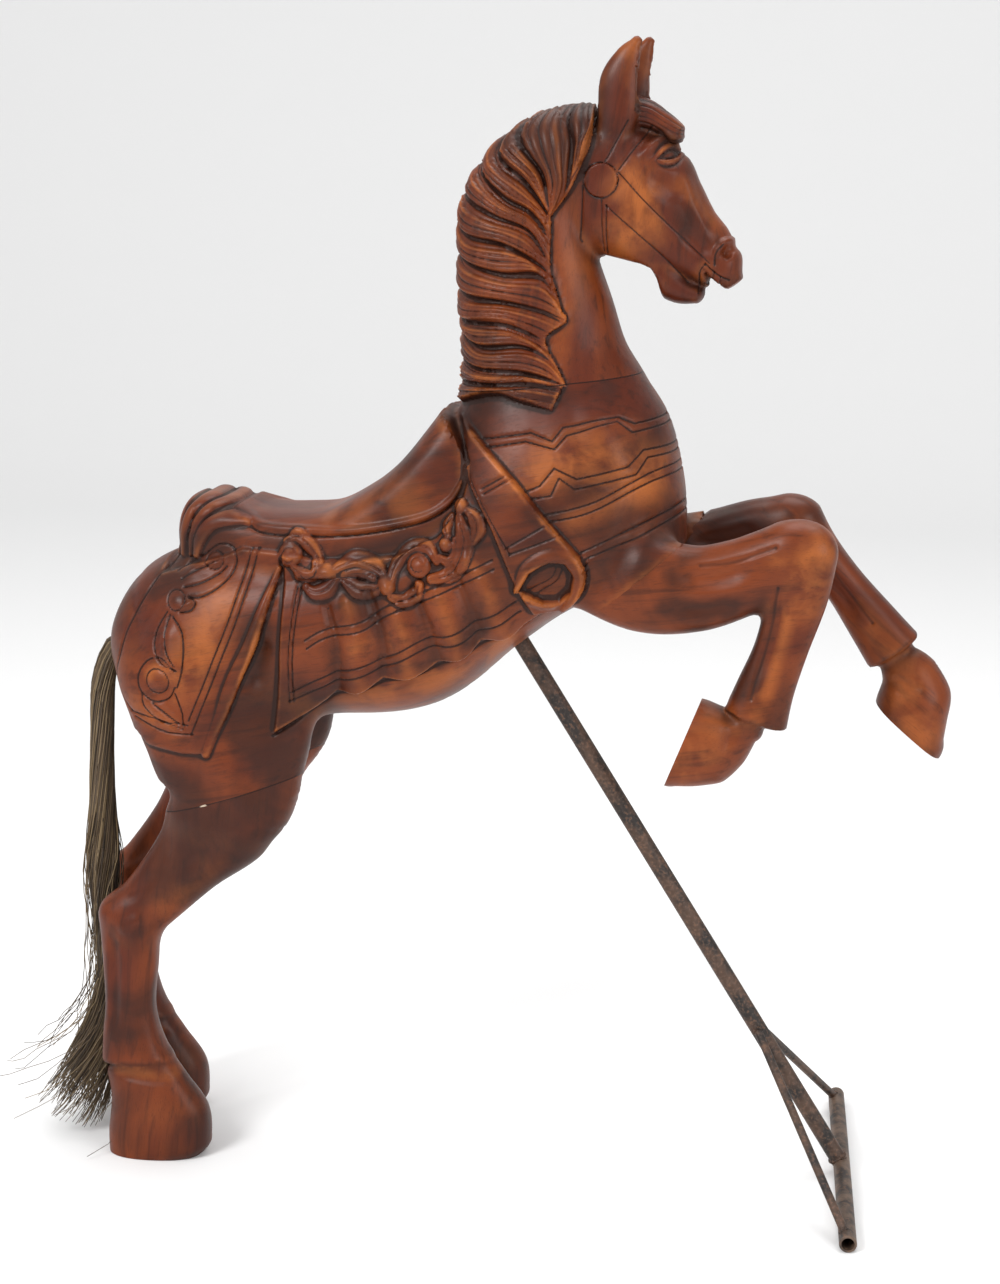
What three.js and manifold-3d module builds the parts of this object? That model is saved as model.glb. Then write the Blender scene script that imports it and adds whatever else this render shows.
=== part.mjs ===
// A rearing carousel horse, carved in mahogany, that stands on its hind hooves and a steel prop.
//
// The horse is glued up from six carved blocks: the trunk, the head with the neck, two forelegs and two
// hind legs. Its tail is a hank of real horsehair set in the rump. The prop is a steel pipe that rises
// into the belly from a foot pipe lying on the ground, with two round braces between them.
//
// Units are millimetres, +Z up. The horse faces +X and its near side is -Y. The origin is on the
// ground, under the middle of the object's bounding box.
import * as THREE from "three";
import { mergeVertices } from "three/addons/utils/BufferGeometryUtils.js";
import Module from "manifold-3d";

const wasm = await Module();
wasm.setup();

// ------------------------------------------------------------------------------ driving dimensions
const GAP = 0.3; // clearance between neighbouring pieces
const FAR = 700; // reach of a cutting slab past everything it cuts
const HIND_LEAN = 50; // how far the far hind hoof stands behind the near one
const EAR_LEAN = 8; // how far the far ear stands in front of the near one
const TAIL_CLEAR = 3; // height of the hair ends over the ground

const CLOTH = 6; // how far the saddle cloth stands out of the body
const FLAP = 13; // its turned front flap
const LOCK = 14; // how far a lock of the mane stands out of the neck at its thickest

const PIPE = 10.65; // outside radius of the prop's two pipes
const BORE = 7.9; // inside radius of the pipes
const BRACE = 5.2; // radius of the two round braces
const SOCKET_DEPTH = 60; // how far the prop goes up into the belly
const BELLY_ENTRY = [72, 0, 668]; // where the prop's axis meets the belly
const FOOT_MID = [482, 0, PIPE]; // where it meets the foot pipe
const FOOT_LENGTH = 470;
const FOOT_TWIST = 4.4; // degrees the foot pipe is turned about Z
const BRACE_TOP = 197; // height where the braces leave the prop
const BRACE_INSET = 14; // distance of the braces' feet from the ends of the foot pipe

// A limb is a row of stations [x, z, up, down, half, side]: a point on its spine, how far its outline
// reaches to the left and to the right of the way the spine runs, its half width, and the distance of
// the spine from the middle of the horse. `square` is the exponent of its section, where 2 is an
// ellipse and more is boxier. `caps` are the lengths of its two rounded ends.
const TRUNK = {
  square: 2.3,
  caps: [66, 60],
  stations: [
    [-388, 650, 84, 108, 88, 0],
    [-335, 666, 116, 116, 114, 0],
    [-255, 688, 114, 106, 124, 0],
    [-165, 698, 112, 118, 124, 0],
    [-70, 716, 122, 122, 126, 0],
    [20, 758, 132, 94, 128, 0],
    [105, 818, 138, 90, 122, 0],
    [170, 868, 110, 90, 110, 0],
  ],
};
const NECK = {
  square: 2.3,
  caps: [55, 30],
  stations: [
    [118, 800, 140, 154, 108, 0],
    [110, 868, 138, 158, 120, 0],
    [104, 930, 124, 150, 114, 0],
    [96, 985, 104, 128, 94, 0],
    [90, 1035, 88, 108, 76, 0],
    [88, 1090, 88, 92, 66, 0],
    [86, 1150, 88, 74, 59, 0],
    [88, 1205, 86, 62, 54, 0],
    [106, 1256, 64, 60, 50, 0],
    [142, 1290, 40, 70, 46, 0],
  ],
};
const HEAD = {
  square: 2.4,
  caps: [40, 20],
  stations: [
    [168, 1268, 54, 66, 47, 0],
    [205, 1228, 74, 90, 51, 0],
    [234, 1196, 66, 68, 45, 0],
    [263, 1170, 54, 38, 37, 0],
    [290, 1152, 44, 31, 32, 0],
    [310, 1139, 30, 25, 31, 0],
  ],
};
const JAW = {
  square: 2.3,
  caps: [20, 8],
  stations: [
    [205, 1168, 20, 18, 34, 0],
    [236, 1136, 22, 24, 30, 0],
    [259, 1118, 16, 20, 27, 0],
    [281, 1110, 10, 12, 24, 0],
  ],
};
const EAR = {
  square: 2,
  caps: [12, 8],
  stations: [
    [176, 1290, 18, 22, 13, 30],
    [186, 1326, 24, 24, 14, 30],
    [190, 1360, 25, 22, 13, 30],
    [199, 1388, 16, 16, 10, 29],
    [207, 1403, 7, 7, 7, 28],
  ],
};
const FORELOCK = {
  square: 2.2,
  caps: [16, 8],
  stations: [
    [184, 1316, 26, 24, 26, 0],
    [212, 1320, 20, 20, 27, 0],
    [236, 1310, 16, 16, 24, 0],
    [254, 1299, 8, 8, 14, 0],
  ],
};
const FORELEG_NEAR = {
  arm: {
    square: 2.4,
    caps: [40, 34],
    stations: [
      [160, 806, 66, 66, 44, 72],
      [230, 775, 56, 64, 44, 78],
      [290, 768, 50, 54, 38, 82],
      [345, 782, 46, 47, 35, 84],
      [400, 808, 42, 46, 34, 84],
    ],
  },
  shin: {
    square: 2.6,
    caps: [38, 6],
    stations: [
      [418, 815, 42, 36, 33, 84],
      [408, 765, 42, 30, 30, 84],
      [392, 700, 36, 28, 27, 83],
      [378, 650, 35, 34, 28, 82],
      [366, 612, 40, 38, 32, 82],
    ],
  },
  hoof: {
    square: 2.4,
    caps: [14, 30],
    stations: [
      [362, 604, 22, 18, 24, 82],
      [340, 598, 46, 20, 33, 82],
      [312, 590, 61, 42, 42, 82],
      [284, 580, 58, 52, 44, 82],
      [256, 571, 50, 54, 44, 82],
    ],
  },
  sole: [[300, 628], [259, 526]],
};
const FORELEG_FAR = {
  arm: {
    square: 2.4,
    caps: [40, 34],
    stations: [
      [160, 806, 66, 66, 44, 72],
      [230, 782, 50, 60, 44, 78],
      [290, 790, 44, 46, 38, 82],
      [350, 808, 42, 42, 35, 84],
      [388, 816, 40, 40, 34, 84],
    ],
  },
  shin: {
    square: 2.6,
    caps: [36, 6],
    stations: [
      [400, 818, 38, 36, 33, 84],
      [426, 788, 29, 28, 30, 84],
      [460, 748, 26, 26, 27, 83],
      [496, 701, 32, 31, 28, 82],
      [522, 664, 39, 34, 32, 82],
    ],
  },
  hoof: {
    square: 2.4,
    caps: [14, 30],
    stations: [
      [526, 655, 28, 20, 24, 82],
      [538, 632, 44, 28, 33, 82],
      [545, 603, 53, 42, 42, 82],
      [551, 572, 44, 50, 44, 82],
      [557, 545, 34, 52, 44, 82],
    ],
  },
  sole: [[506, 599], [582, 535]],
};
const HIND_LEG = {
  arm: {
    square: 2.3,
    caps: [60, 26],
    stations: [
      [-325, 640, 95, 96, 46, 76],
      [-300, 560, 118, 100, 48, 82],
      [-290, 500, 92, 90, 46, 84],
      [-302, 452, 76, 72, 41, 84],
      [-350, 395, 50, 46, 35, 82],
      [-395, 345, 42, 38, 31, 80],
      [-422, 312, 36, 40, 31, 80],
    ],
  },
  shin: {
    square: 2.6,
    caps: [30, 6],
    stations: [
      [-425, 318, 36, 40, 31, 80],
      [-427, 255, 36, 35, 27, 80],
      [-427, 200, 32, 34, 26, 80],
      [-428, 160, 38, 37, 29, 80],
      [-426, 128, 48, 41, 34, 80],
    ],
  },
  hoof: {
    square: 2.4,
    caps: [14, 30],
    stations: [
      [-421, 118, 46, 42, 30, 80],
      [-412, 86, 58, 46, 34, 80],
      [-402, 46, 74, 60, 39, 80],
      [-396, 10, 70, 66, 40, 80],
    ],
  },
  sole: [[-460, 0], [-330, 0]],
};
const TAIL = {
  square: 2,
  caps: [14, 6],
  stations: [
    [-452, 658, 12, 12, 12, 0],
    [-474, 636, 15, 17, 14, 0],
    [-482, 590, 18, 18, 16, 0],
    [-482, 525, 18, 19, 17, -1],
    [-484, 443, 20, 23, 19, -3],
    [-484, 375, 26, 29, 22, -5],
    [-486, 320, 20, 26, 22, -7],
    [-484, 260, 18, 19, 19, -9],
    [-482, 215, 17, 17, 17, -11],
    [-490, 150, 26, 25, 20, -14],
    [-508, 90, 40, 36, 22, -17],
    [-528, 45, 50, 44, 22, -20],
    [-546, 0, 56, 54.6, 20, -22],
  ],
};
const SADDLE = {
  square: 2.6,
  caps: [34, 20],
  stations: [
    [-312, 792, 56, 60, 76, 0],
    [-262, 790, 50, 60, 92, 0],
    [-214, 790, 50, 60, 102, 0],
    [-157, 796, 50, 60, 108, 0],
    [-100, 822, 52, 60, 112, 0],
    [-45, 868, 48, 60, 112, 0],
    [5, 925, 50, 60, 104, 0],
    [30, 965, 48, 50, 90, 0],
  ],
};

// Glue faces: the flat joint of each block, by two points on it in the side view.
const NECK_JOINT = [[16, 996], [219, 1016]];
const HIP_JOINT = [[-351, 469], [-185, 521]];
const ELBOW_JOINT = [[180, 740], [262, 809]];

// Carving, as outlines in the side view [x, z].
const SEAT = [[-372, 760], [-310, 780], [-263, 806], [-212, 804], [-153, 796], [-67, 808], [-16, 830], [10, 858], [20, 890], [12, 926], [-8, 960], [-14, 1010], [-120, 1010], [-372, 930]];
const SADDLE_CLOTH = [[-208, 830], [-206, 737], [-213, 654], [-222, 575], [-191, 597], [-148, 624], [-86, 646], [-31, 662], [37, 697], [100, 730], [90, 780], [40, 900], [-30, 960], [-110, 880]];
const RUMP_CLOTH = [[-214, 830], [-245, 693], [-267, 646], [-291, 585], [-305, 548], [-336, 546], [-384, 550], [-416, 584], [-440, 640], [-436, 700], [-410, 760], [-360, 820]];
const FRONT_FLAP = [[7, 968], [81, 897], [139, 829], [158, 810], [161, 791], [156, 768], [133, 745], [96, 738], [80, 772], [53, 840], [18, 904], [-34, 930], [-34, 972]];
const FLAP_ROLL = { path: [[90, 740], [84, 776], [112, 802], [148, 792], [152, 764]], radii: [15, 19, 20, 17, 12] };
const RUMP_FOLD = { path: [[-226, 776], [-246, 700], [-270, 644], [-294, 590], [-308, 556]], radii: [6, 8, 9, 9, 7] };

// The crests of the pleats, each from its narrow top to the hem of the cloth.
const PLEATS = [
  [[-186, 722], [-184, 660], [-192, 606]],
  [[-130, 742], [-120, 690], [-122, 640]],
  [[-72, 756], [-58, 706], [-54, 660]],
  [[-20, 772], [-2, 724], [8, 688]],
  [[26, 796], [46, 752], [58, 714]],
];
const PLEAT_RADII = [7, 13, 17];
const PLEAT_SINK = 8; // how deep a pleat's middle line lies in the cloth

// The scroll work under the seat: round bosses [x, z, radius] and the stems between them.
const BOSSES = [[-199, 797, 15], [-151, 774, 17], [-74, 764, 14], [-34, 788, 20], [0, 816, 11], [16, 862, 12]];
const STEMS = [
  [[-192, 782], [-170, 772], [-166, 788]],
  [[-138, 784], [-112, 794], [-86, 784], [-74, 772]],
  [[-132, 766], [-108, 756], [-88, 760]],
  [[-68, 762], [-58, 794], [-38, 813], [-15, 803]],
  [[-16, 780], [12, 802], [22, 832], [14, 850]],
];
const STEM_RADII = [5, 9, 6];
const ROSETTE = [169, 1245, 20];
const EYE = [246, 1272];

// The locks of the mane on the near side, each by its middle line from crest to tip, in the side view.
const LOCKS = [
  [[150, 1326], [147, 1292], [138, 1258], [118, 1222]],
  [[122, 1322], [106, 1292], [122, 1254], [107, 1204]],
  [[88, 1308], [70, 1278], [94, 1242], [106, 1194]],
  [[56, 1292], [46, 1260], [74, 1230], [108, 1176]],
  [[26, 1264], [28, 1236], [60, 1207], [109, 1154]],
  [[4, 1232], [18, 1202], [60, 1184], [110, 1140]],
  [[-4, 1192], [20, 1166], [70, 1152], [122, 1098]],
  [[-6, 1154], [20, 1130], [72, 1118], [128, 1080]],
  [[-5, 1114], [22, 1094], [66, 1089], [116, 1062]],
  [[-4, 1084], [24, 1064], [70, 1063], [118, 1030]],
  [[-3, 1054], [28, 1036], [76, 1038], [130, 1010]],
  [[-1, 1026], [28, 1013], [76, 1014], [130, 1002]],
  [[2, 1000], [38, 996], [80, 996], [122, 979]],
];
const LOCK_RADII = [12, 20, 19, 7];
const LOCK_ROOT = 4; // the hair between the locks, over the neck
const MANE = [[160, 1360], [152, 1280], [112, 1210], [110, 1150], [122, 1090], [116, 1040], [124, 984], [-60, 984], [-60, 1360]];
const FAR_MANE = [[150, 1360], [120, 1305], [80, 1285], [50, 1250], [30, 1200], [24, 1140], [26, 1080], [30, 1030], [34, 985], [-60, 985], [-60, 1360]];
const FAR_MANE_HEIGHT = 9;

// The cantle: three ridges that roll over the back of the seat, each by the near half of its path.
const CANTLE = [
  { path: [[-264, -78, 814], [-294, -74, 832], [-320, -52, 842], [-334, 0, 850]], radius: 11 },
  { path: [[-262, -88, 806], [-296, -88, 820], [-328, -66, 824], [-346, 0, 830]], radius: 11 },
  { path: [[-284, -94, 804], [-314, -90, 806], [-336, -68, 802], [-350, 0, 810]], radius: 10 },
  { path: [[-306, -94, 796], [-326, -87, 788], [-338, -76, 772]], radius: 9 },
];

// ------------------------------------------------------------------------------------- helpers
const power = (v, e) => Math.sign(v) * Math.abs(v) ** e;

// The value of a row of number lists at t, on a Catmull-Rom curve; whole numbers are the rows.
function spline(rows, t) {
  const i = Math.min(Math.floor(t), rows.length - 2);
  const f = t - i;
  const row = (k) => rows[Math.max(0, Math.min(rows.length - 1, k))];
  return row(i).map((_, c) => {
    const [a, b, d, e] = [-1, 0, 1, 2].map((k) => row(i + k)[c]);
    return b + 0.5 * f * (d - a + f * (2 * a - 5 * b + 4 * d - e + f * (3 * (b - d) + e - a)));
  });
}

// A geometry as a solid that can be joined and cut.
function solid(geometry) {
  const bare = geometry.clone();
  for (const name of Object.keys(bare.attributes)) if (name !== "position") bare.deleteAttribute(name);
  const merged = mergeVertices(bare, 1e-3);
  const made = new wasm.Manifold(
    new wasm.Mesh({
      numProp: 3,
      vertProperties: merged.attributes.position.array,
      triVerts: new Uint32Array(merged.index.array),
    }),
  );
  if (made.volume() < 0) throw new Error("a solid is inside out");
  return made;
}

// A closed solid from rings of points, with a point at each end.
function skin(rings, first, last) {
  const n = rings[0].length;
  const position = [first, ...rings.flat(), last].flat();
  const index = [];
  const at = (r, i) => 1 + r * n + (i % n);
  for (let i = 0; i < n; i++) {
    index.push(0, at(0, i), at(0, i + 1));
    for (let r = 0; r + 1 < rings.length; r++) {
      index.push(at(r, i), at(r + 1, i), at(r, i + 1), at(r, i + 1), at(r + 1, i), at(r + 1, i + 1));
    }
    index.push(at(rings.length - 1, i + 1), at(rings.length - 1, i), 1 + rings.length * n);
  }
  const geometry = new THREE.BufferGeometry();
  geometry.setAttribute("position", new THREE.Float32BufferAttribute(position, 3));
  return solid(geometry.setIndex(index));
}

// The solid of a limb on one side of the horse: -1 is near, 1 is far. `grow` thickens it all round.
function limb(shape, { hand = 1, sides = 10, steps = 1, grow = 0, bends = [0.45, 0.85] } = {}) {
  const spans = shape.stations.length - 1;
  const section = (t, along, scale) => {
    const [x, z, up, down, half, side] = spline(shape.stations, t);
    const a = spline(shape.stations, Math.max(0, t - 0.01));
    const b = spline(shape.stations, Math.min(spans, t + 0.01));
    const tangent = new THREE.Vector2(b[0] - a[0], b[1] - a[1]).normalize();
    const point = (c, s) => {
      const left = ((c > 0 ? up : down) + grow) * scale * power(c, 2 / shape.square);
      const out = (half + grow) * scale * power(s, 2 / shape.square);
      return [x + tangent.x * along - tangent.y * left, hand * side + out, z + tangent.y * along + tangent.x * left];
    };
    const around = Array.from({ length: sides }, (_, i) => (2 * Math.PI * i) / sides);
    return { ring: around.map((v) => point(Math.cos(v), Math.sin(v))), tip: point(0, 0) };
  };
  const [head, tail] = shape.caps.map((c) => c + grow);
  const turns = bends.map((v) => v * 0.5 * Math.PI);
  const rings = [
    ...turns.map((v) => section(0, -head * Math.sin(v), Math.cos(v)).ring).reverse(),
    ...Array.from({ length: spans * steps + 1 }, (_, i) => section(i / steps, 0, 1).ring),
    ...turns.map((v) => section(spans, tail * Math.sin(v), Math.cos(v)).ring),
  ];
  return skin(rings, section(0, -head, 0).tip, section(spans, tail, 0).tip);
}

// A round bar between two points.
function bar(from, to, radius, sides = 16) {
  const [a, b] = [new THREE.Vector3(...from), new THREE.Vector3(...to)];
  const geometry = new THREE.CylinderGeometry(radius, radius, a.distanceTo(b), sides);
  const turn = new THREE.Quaternion().setFromUnitVectors(new THREE.Vector3(0, 1, 0), b.clone().sub(a).normalize());
  geometry.applyQuaternion(turn).translate(...a.add(b).multiplyScalar(0.5).toArray());
  return solid(geometry);
}

// The point on a limb's skin that lies over [x, z] in the side view, `lift` above the skin.
function over(shape, [x, z], hand, lift = 0) {
  const spans = shape.stations.length - 1;
  let best = { distance: Infinity };
  for (let t = 0; t <= spans; t += 0.05) {
    const station = spline(shape.stations, t);
    const distance = Math.hypot(x - station[0], z - station[1]);
    if (distance < best.distance) best = { distance, t, station };
  }
  const [cx, cz, up, down, half, side] = best.station;
  const next = spline(shape.stations, Math.min(spans, best.t + 0.02));
  const last = spline(shape.stations, Math.max(0, best.t - 0.02));
  const left = (next[0] - last[0]) * (z - cz) - (next[1] - last[1]) * (x - cx);
  const reach = (left > 0 ? up : down) + lift;
  const rest = Math.max(0, 1 - (best.distance / reach) ** shape.square);
  return [x, hand * (side + (half + lift) * rest ** (1 / shape.square)), z];
}

// A bead: a bar that follows a row of points, with rounded ends. Its radius runs along `radii`.
function bead(points, radii, { sides = 5, steps = 1 } = {}) {
  const curve = new THREE.CatmullRomCurve3(points.map((p) => new THREE.Vector3(...p)));
  const count = steps * (points.length - 1);
  const frames = curve.computeFrenetFrames(count);
  const width = (i) => spline(radii.map((r) => [r]), (i / count) * (radii.length - 1))[0];
  const ring = (i, scale, along) =>
    Array.from({ length: sides }, (_, k) => {
      const v = (2 * Math.PI * (k + 0.5)) / sides;
      const p = curve.getPoint(i / count).addScaledVector(frames.tangents[i], along * width(i));
      p.addScaledVector(frames.normals[i], -width(i) * scale * Math.cos(v));
      return p.addScaledVector(frames.binormals[i], width(i) * scale * Math.sin(v)).toArray();
    });
  const rings = [ring(0, 0.7, -0.7), ...Array.from({ length: count + 1 }, (_, i) => ring(i, 1, 0)), ring(count, 0.7, 0.7)];
  return skin(rings, ring(0, 0, -1)[0], ring(count, 0, 1)[0]);
}

const unite = (solids) => solids.reduce((a, b) => a.add(b));
const circle = ([x, z, radius], sides = 12) =>
  Array.from({ length: sides }, (_, i) => {
    const v = (2 * Math.PI * i) / sides;
    return [x + radius * Math.cos(v), z + radius * Math.sin(v)];
  });

// A prism of a side-view outline, across the horse from y = side - half to side + half.
function prism(outline, half = FAR, side = 0) {
  const shape = new THREE.Shape(outline.map(([x, z]) => new THREE.Vector2(x, z)));
  const geometry = new THREE.ExtrudeGeometry(shape, { depth: 2 * half, bevelEnabled: false });
  geometry.rotateX(Math.PI / 2).translate(0, half + side, 0);
  return solid(geometry);
}
const nearPrism = (outline) => prism(outline, FAR / 2, -FAR / 2);
const farPrism = (outline) => prism(outline, FAR / 2, FAR / 2);

// Everything to the right of the way from a to b, from `start` past the line.
function slab([a, b], start = 0) {
  const along = new THREE.Vector2(b[0] - a[0], b[1] - a[1]).normalize();
  const right = new THREE.Vector2(along.y, -along.x);
  const corner = (p, u, v) => [p[0] + along.x * u + right.x * v, p[1] + along.y * u + right.y * v];
  return prism([corner(a, -FAR, start), corner(a, -FAR, FAR), corner(b, FAR, FAR), corner(b, FAR, start)]);
}

// ------------------------------------------------------------------------------------ the body
const HIND_FAR = {
  ...HIND_LEG,
  arm: lean(HIND_LEG.arm),
  shin: lean(HIND_LEG.shin),
  hoof: lean(HIND_LEG.hoof),
  sole: HIND_LEG.sole.map(([x, z]) => [x - HIND_LEAN, z]),
};

// The far hind leg leans back from the hip down.
function lean(shape) {
  const shift = (z) => HIND_LEAN * Math.min(1, Math.max(0, (600 - z) / 150));
  return { ...shape, stations: shape.stations.map(([x, z, ...rest]) => [x - shift(z), z, ...rest]) };
}

const ROUND = { sides: 16 };
const barrel = (grow) => unite([limb(TRUNK, { ...ROUND, grow }), limb(NECK, { ...ROUND, grow })]);
const thighs = (grow) => unite([limb(HIND_LEG.arm, { hand: -1, grow }), limb(HIND_FAR.arm, { hand: 1, grow })]);
const shoulders = (grow) => unite([limb(FORELEG_NEAR.arm, { hand: -1, grow }), limb(FORELEG_FAR.arm, { hand: 1, grow })]);
const body = (grow) => unite([barrel(grow), thighs(grow)]);

// --------------------------------------------------------------------- saddle, cloth and scrolls
const sides = [-1, 1];
const beadOn = (shape, line, radii, hand, lift) => bead(line.map((p) => over(shape, p, hand, lift)), radii);
const pleats = sides.flatMap((hand) => PLEATS.map((line) => beadOn(TRUNK, line, PLEAT_RADII, hand, CLOTH - PLEAT_SINK)));
const bosses = BOSSES.map(([x, z, radius]) => {
  const ball = new THREE.SphereGeometry(radius, 7, 4).translate(...over(TRUNK, [x, z], -1, 2));
  return solid(ball);
});
const stems = STEMS.map((line) => beadOn(TRUNK, line, STEM_RADII, -1, CLOTH));
const seat = limb(SADDLE, { sides: 14 }).intersect(prism(SEAT));
const mirrored = ([x, y, z]) => [x, -y, z];
const cantle = CANTLE.flatMap(({ path, radius }) => sides.map((hand) => bead(hand < 0 ? path : path.map(mirrored).reverse(), [radius, radius])));
const drapery = unite([
  body(CLOTH).intersect(unite([prism(SADDLE_CLOTH), prism(RUMP_CLOTH)])),
  barrel(FLAP).intersect(prism(FRONT_FLAP)),
  ...sides.map((hand) => beadOn(TRUNK, FLAP_ROLL.path, FLAP_ROLL.radii, hand, 0)),
  ...sides.map((hand) => beadOn(TRUNK, RUMP_FOLD.path, RUMP_FOLD.radii, hand, CLOTH)),
  ...pleats,
  ...bosses,
  ...stems,
]);

// ------------------------------------------------------------------------------ mane and head
const maneRoot = limb(NECK, { ...ROUND, grow: LOCK_ROOT }).intersect(nearPrism(MANE));
const locks = LOCKS.map((line) => beadOn(NECK, line, LOCK_RADII, -1, LOCK - LOCK_RADII[1]));
const farMane = limb(NECK, { ...ROUND, grow: FAR_MANE_HEIGHT }).intersect(farPrism(FAR_MANE));
const headSkin = { sides: 12 };
const rosette = limb(HEAD, { ...headSkin, grow: 5 }).intersect(prism(circle(ROSETTE)));
const eyes = sides.map((hand) => solid(new THREE.SphereGeometry(13, 8, 5).translate(...over(HEAD, EYE, hand, -6))));
const farEar = { ...EAR, stations: EAR.stations.map(([x, ...rest]) => [x + EAR_LEAN, ...rest]) };
const head = unite([
  limb(HEAD, headSkin),
  limb(JAW, { bends: [0.6] }),
  limb(FORELOCK, { sides: 10, bends: [0.6] }),
  limb(EAR, { hand: -1, sides: 8, bends: [0.6] }),
  limb(farEar, { hand: 1, sides: 8, bends: [0.6] }),
  rosette,
  ...eyes,
]);

// ---------------------------------------------------------------------------------- the blocks
const rising = new THREE.Vector3(...BELLY_ENTRY).sub(new THREE.Vector3(...FOOT_MID)).normalize();
const pipeTop = new THREE.Vector3(...BELLY_ENTRY).addScaledVector(rising, SOCKET_DEPTH).toArray();
const socketTop = new THREE.Vector3(...BELLY_ENTRY).addScaledVector(rising, SOCKET_DEPTH + GAP).toArray();
const rump = limb(TAIL, { grow: GAP });

const above = (joint, start) => slab([...joint].reverse(), start);
const carved = unite([body(0), shoulders(0), seat, ...cantle, drapery, maneRoot, ...locks, farMane]);
const trunk = unite([carved])
  .subtract(above(NECK_JOINT, -GAP))
  .subtract(thighs(GAP).intersect(slab(HIP_JOINT, -GAP)))
  .subtract(shoulders(GAP).intersect(slab(ELBOW_JOINT, -GAP)))
  .subtract(bar(FOOT_MID, socketTop, PIPE + GAP, 16))
  .subtract(rump);
const headNeck = unite([limb(NECK, ROUND), maneRoot, ...locks, farMane]).intersect(above(NECK_JOINT, 0)).add(head);

function foreleg(leg, hand) {
  const arm = limb(leg.arm, { hand }).intersect(slab(ELBOW_JOINT));
  return unite([arm, limb(leg.shin, { hand }), limb(leg.hoof, { hand }).subtract(slab(leg.sole))]);
}
function hindLeg(leg, hand) {
  const arm = limb(leg.arm, { hand }).intersect(slab(HIP_JOINT));
  return unite([arm, limb(leg.shin, { hand }), limb(leg.hoof, { hand }).subtract(slab(leg.sole))]);
}
const tail = limb(TAIL).subtract(slab([[-900, TAIL_CLEAR], [0, TAIL_CLEAR]]));

// ------------------------------------------------------------------------------------ the prop
const twist = THREE.MathUtils.degToRad(FOOT_TWIST);
const onFoot = (distance) => [FOOT_MID[0] - Math.sin(twist) * distance, FOOT_MID[1] + Math.cos(twist) * distance, PIPE];
const forkHeight = (BRACE_TOP - FOOT_MID[2]) / (BELLY_ENTRY[2] - FOOT_MID[2]);
const fork = new THREE.Vector3(...FOOT_MID).lerp(new THREE.Vector3(...BELLY_ENTRY), forkHeight).toArray();
const ends = [-1, 1].map((hand) => onFoot(hand * (FOOT_LENGTH / 2)));
const braceFeet = [-1, 1].map((hand) => onFoot(hand * (FOOT_LENGTH / 2 - BRACE_INSET)));
const footOutside = (grow) => bar(ends[0], ends[1], PIPE + grow, 16);
const rodOutside = (grow) => bar(FOOT_MID, pipeTop, PIPE + grow, 16);
const past = new THREE.Vector3(...pipeTop).addScaledVector(rising, SOCKET_DEPTH).toArray();
const rod = rodOutside(0).subtract(bar(FOOT_MID, past, BORE)).subtract(footOutside(GAP));
const footPipe = footOutside(0).subtract(bar(onFoot(-FOOT_LENGTH), onFoot(FOOT_LENGTH), BORE));
const braces = braceFeet.map((end) => bar(fork, end, BRACE, 10).subtract(rodOutside(GAP)).subtract(footOutside(GAP)));

// ------------------------------------------------------------------------------- named pieces
function part(name, made, color) {
  const mesh = made.getMesh();
  const geometry = new THREE.BufferGeometry();
  geometry.setAttribute("position", new THREE.BufferAttribute(mesh.vertProperties, 3));
  geometry.setIndex(new THREE.BufferAttribute(mesh.triVerts, 1));
  const out = new THREE.Mesh(geometry, new THREE.MeshStandardMaterial({ color }));
  out.name = name;
  return out;
}

const WOOD = 0x7a3a1c;
const STEEL = 0x3a312c;
const horse = new THREE.Group();
horse.name = "carousel_horse";
horse.add(
  part("trunk", trunk, WOOD),
  part("head_neck", headNeck, WOOD),
  part("foreleg_near", foreleg(FORELEG_NEAR, -1), WOOD),
  part("foreleg_far", foreleg(FORELEG_FAR, 1), WOOD),
  part("hind_leg_near", hindLeg(HIND_LEG, -1), WOOD),
  part("hind_leg_far", hindLeg(HIND_FAR, 1), WOOD),
  part("tail", tail, 0x8a7b5c),
  part("prop_rod", rod, STEEL),
  part("foot_pipe", footPipe, STEEL),
  part("brace_near", braces[0], STEEL),
  part("brace_far", braces[1], STEEL),
);
export default horse;
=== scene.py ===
# %% [markdown]
# # A rearing carousel horse, carved in mahogany
# The real horse is glued up from six carved blocks: the trunk, the head with the neck, two forelegs and two
# hind legs. Real horsehair is set in its rump, and it rears on its hind hooves and a steel prop. Everything
# here is built round the packed model, which gives the frame, the sizes and the names of the pieces.

# %% Load the fixed frame
import math

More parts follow.
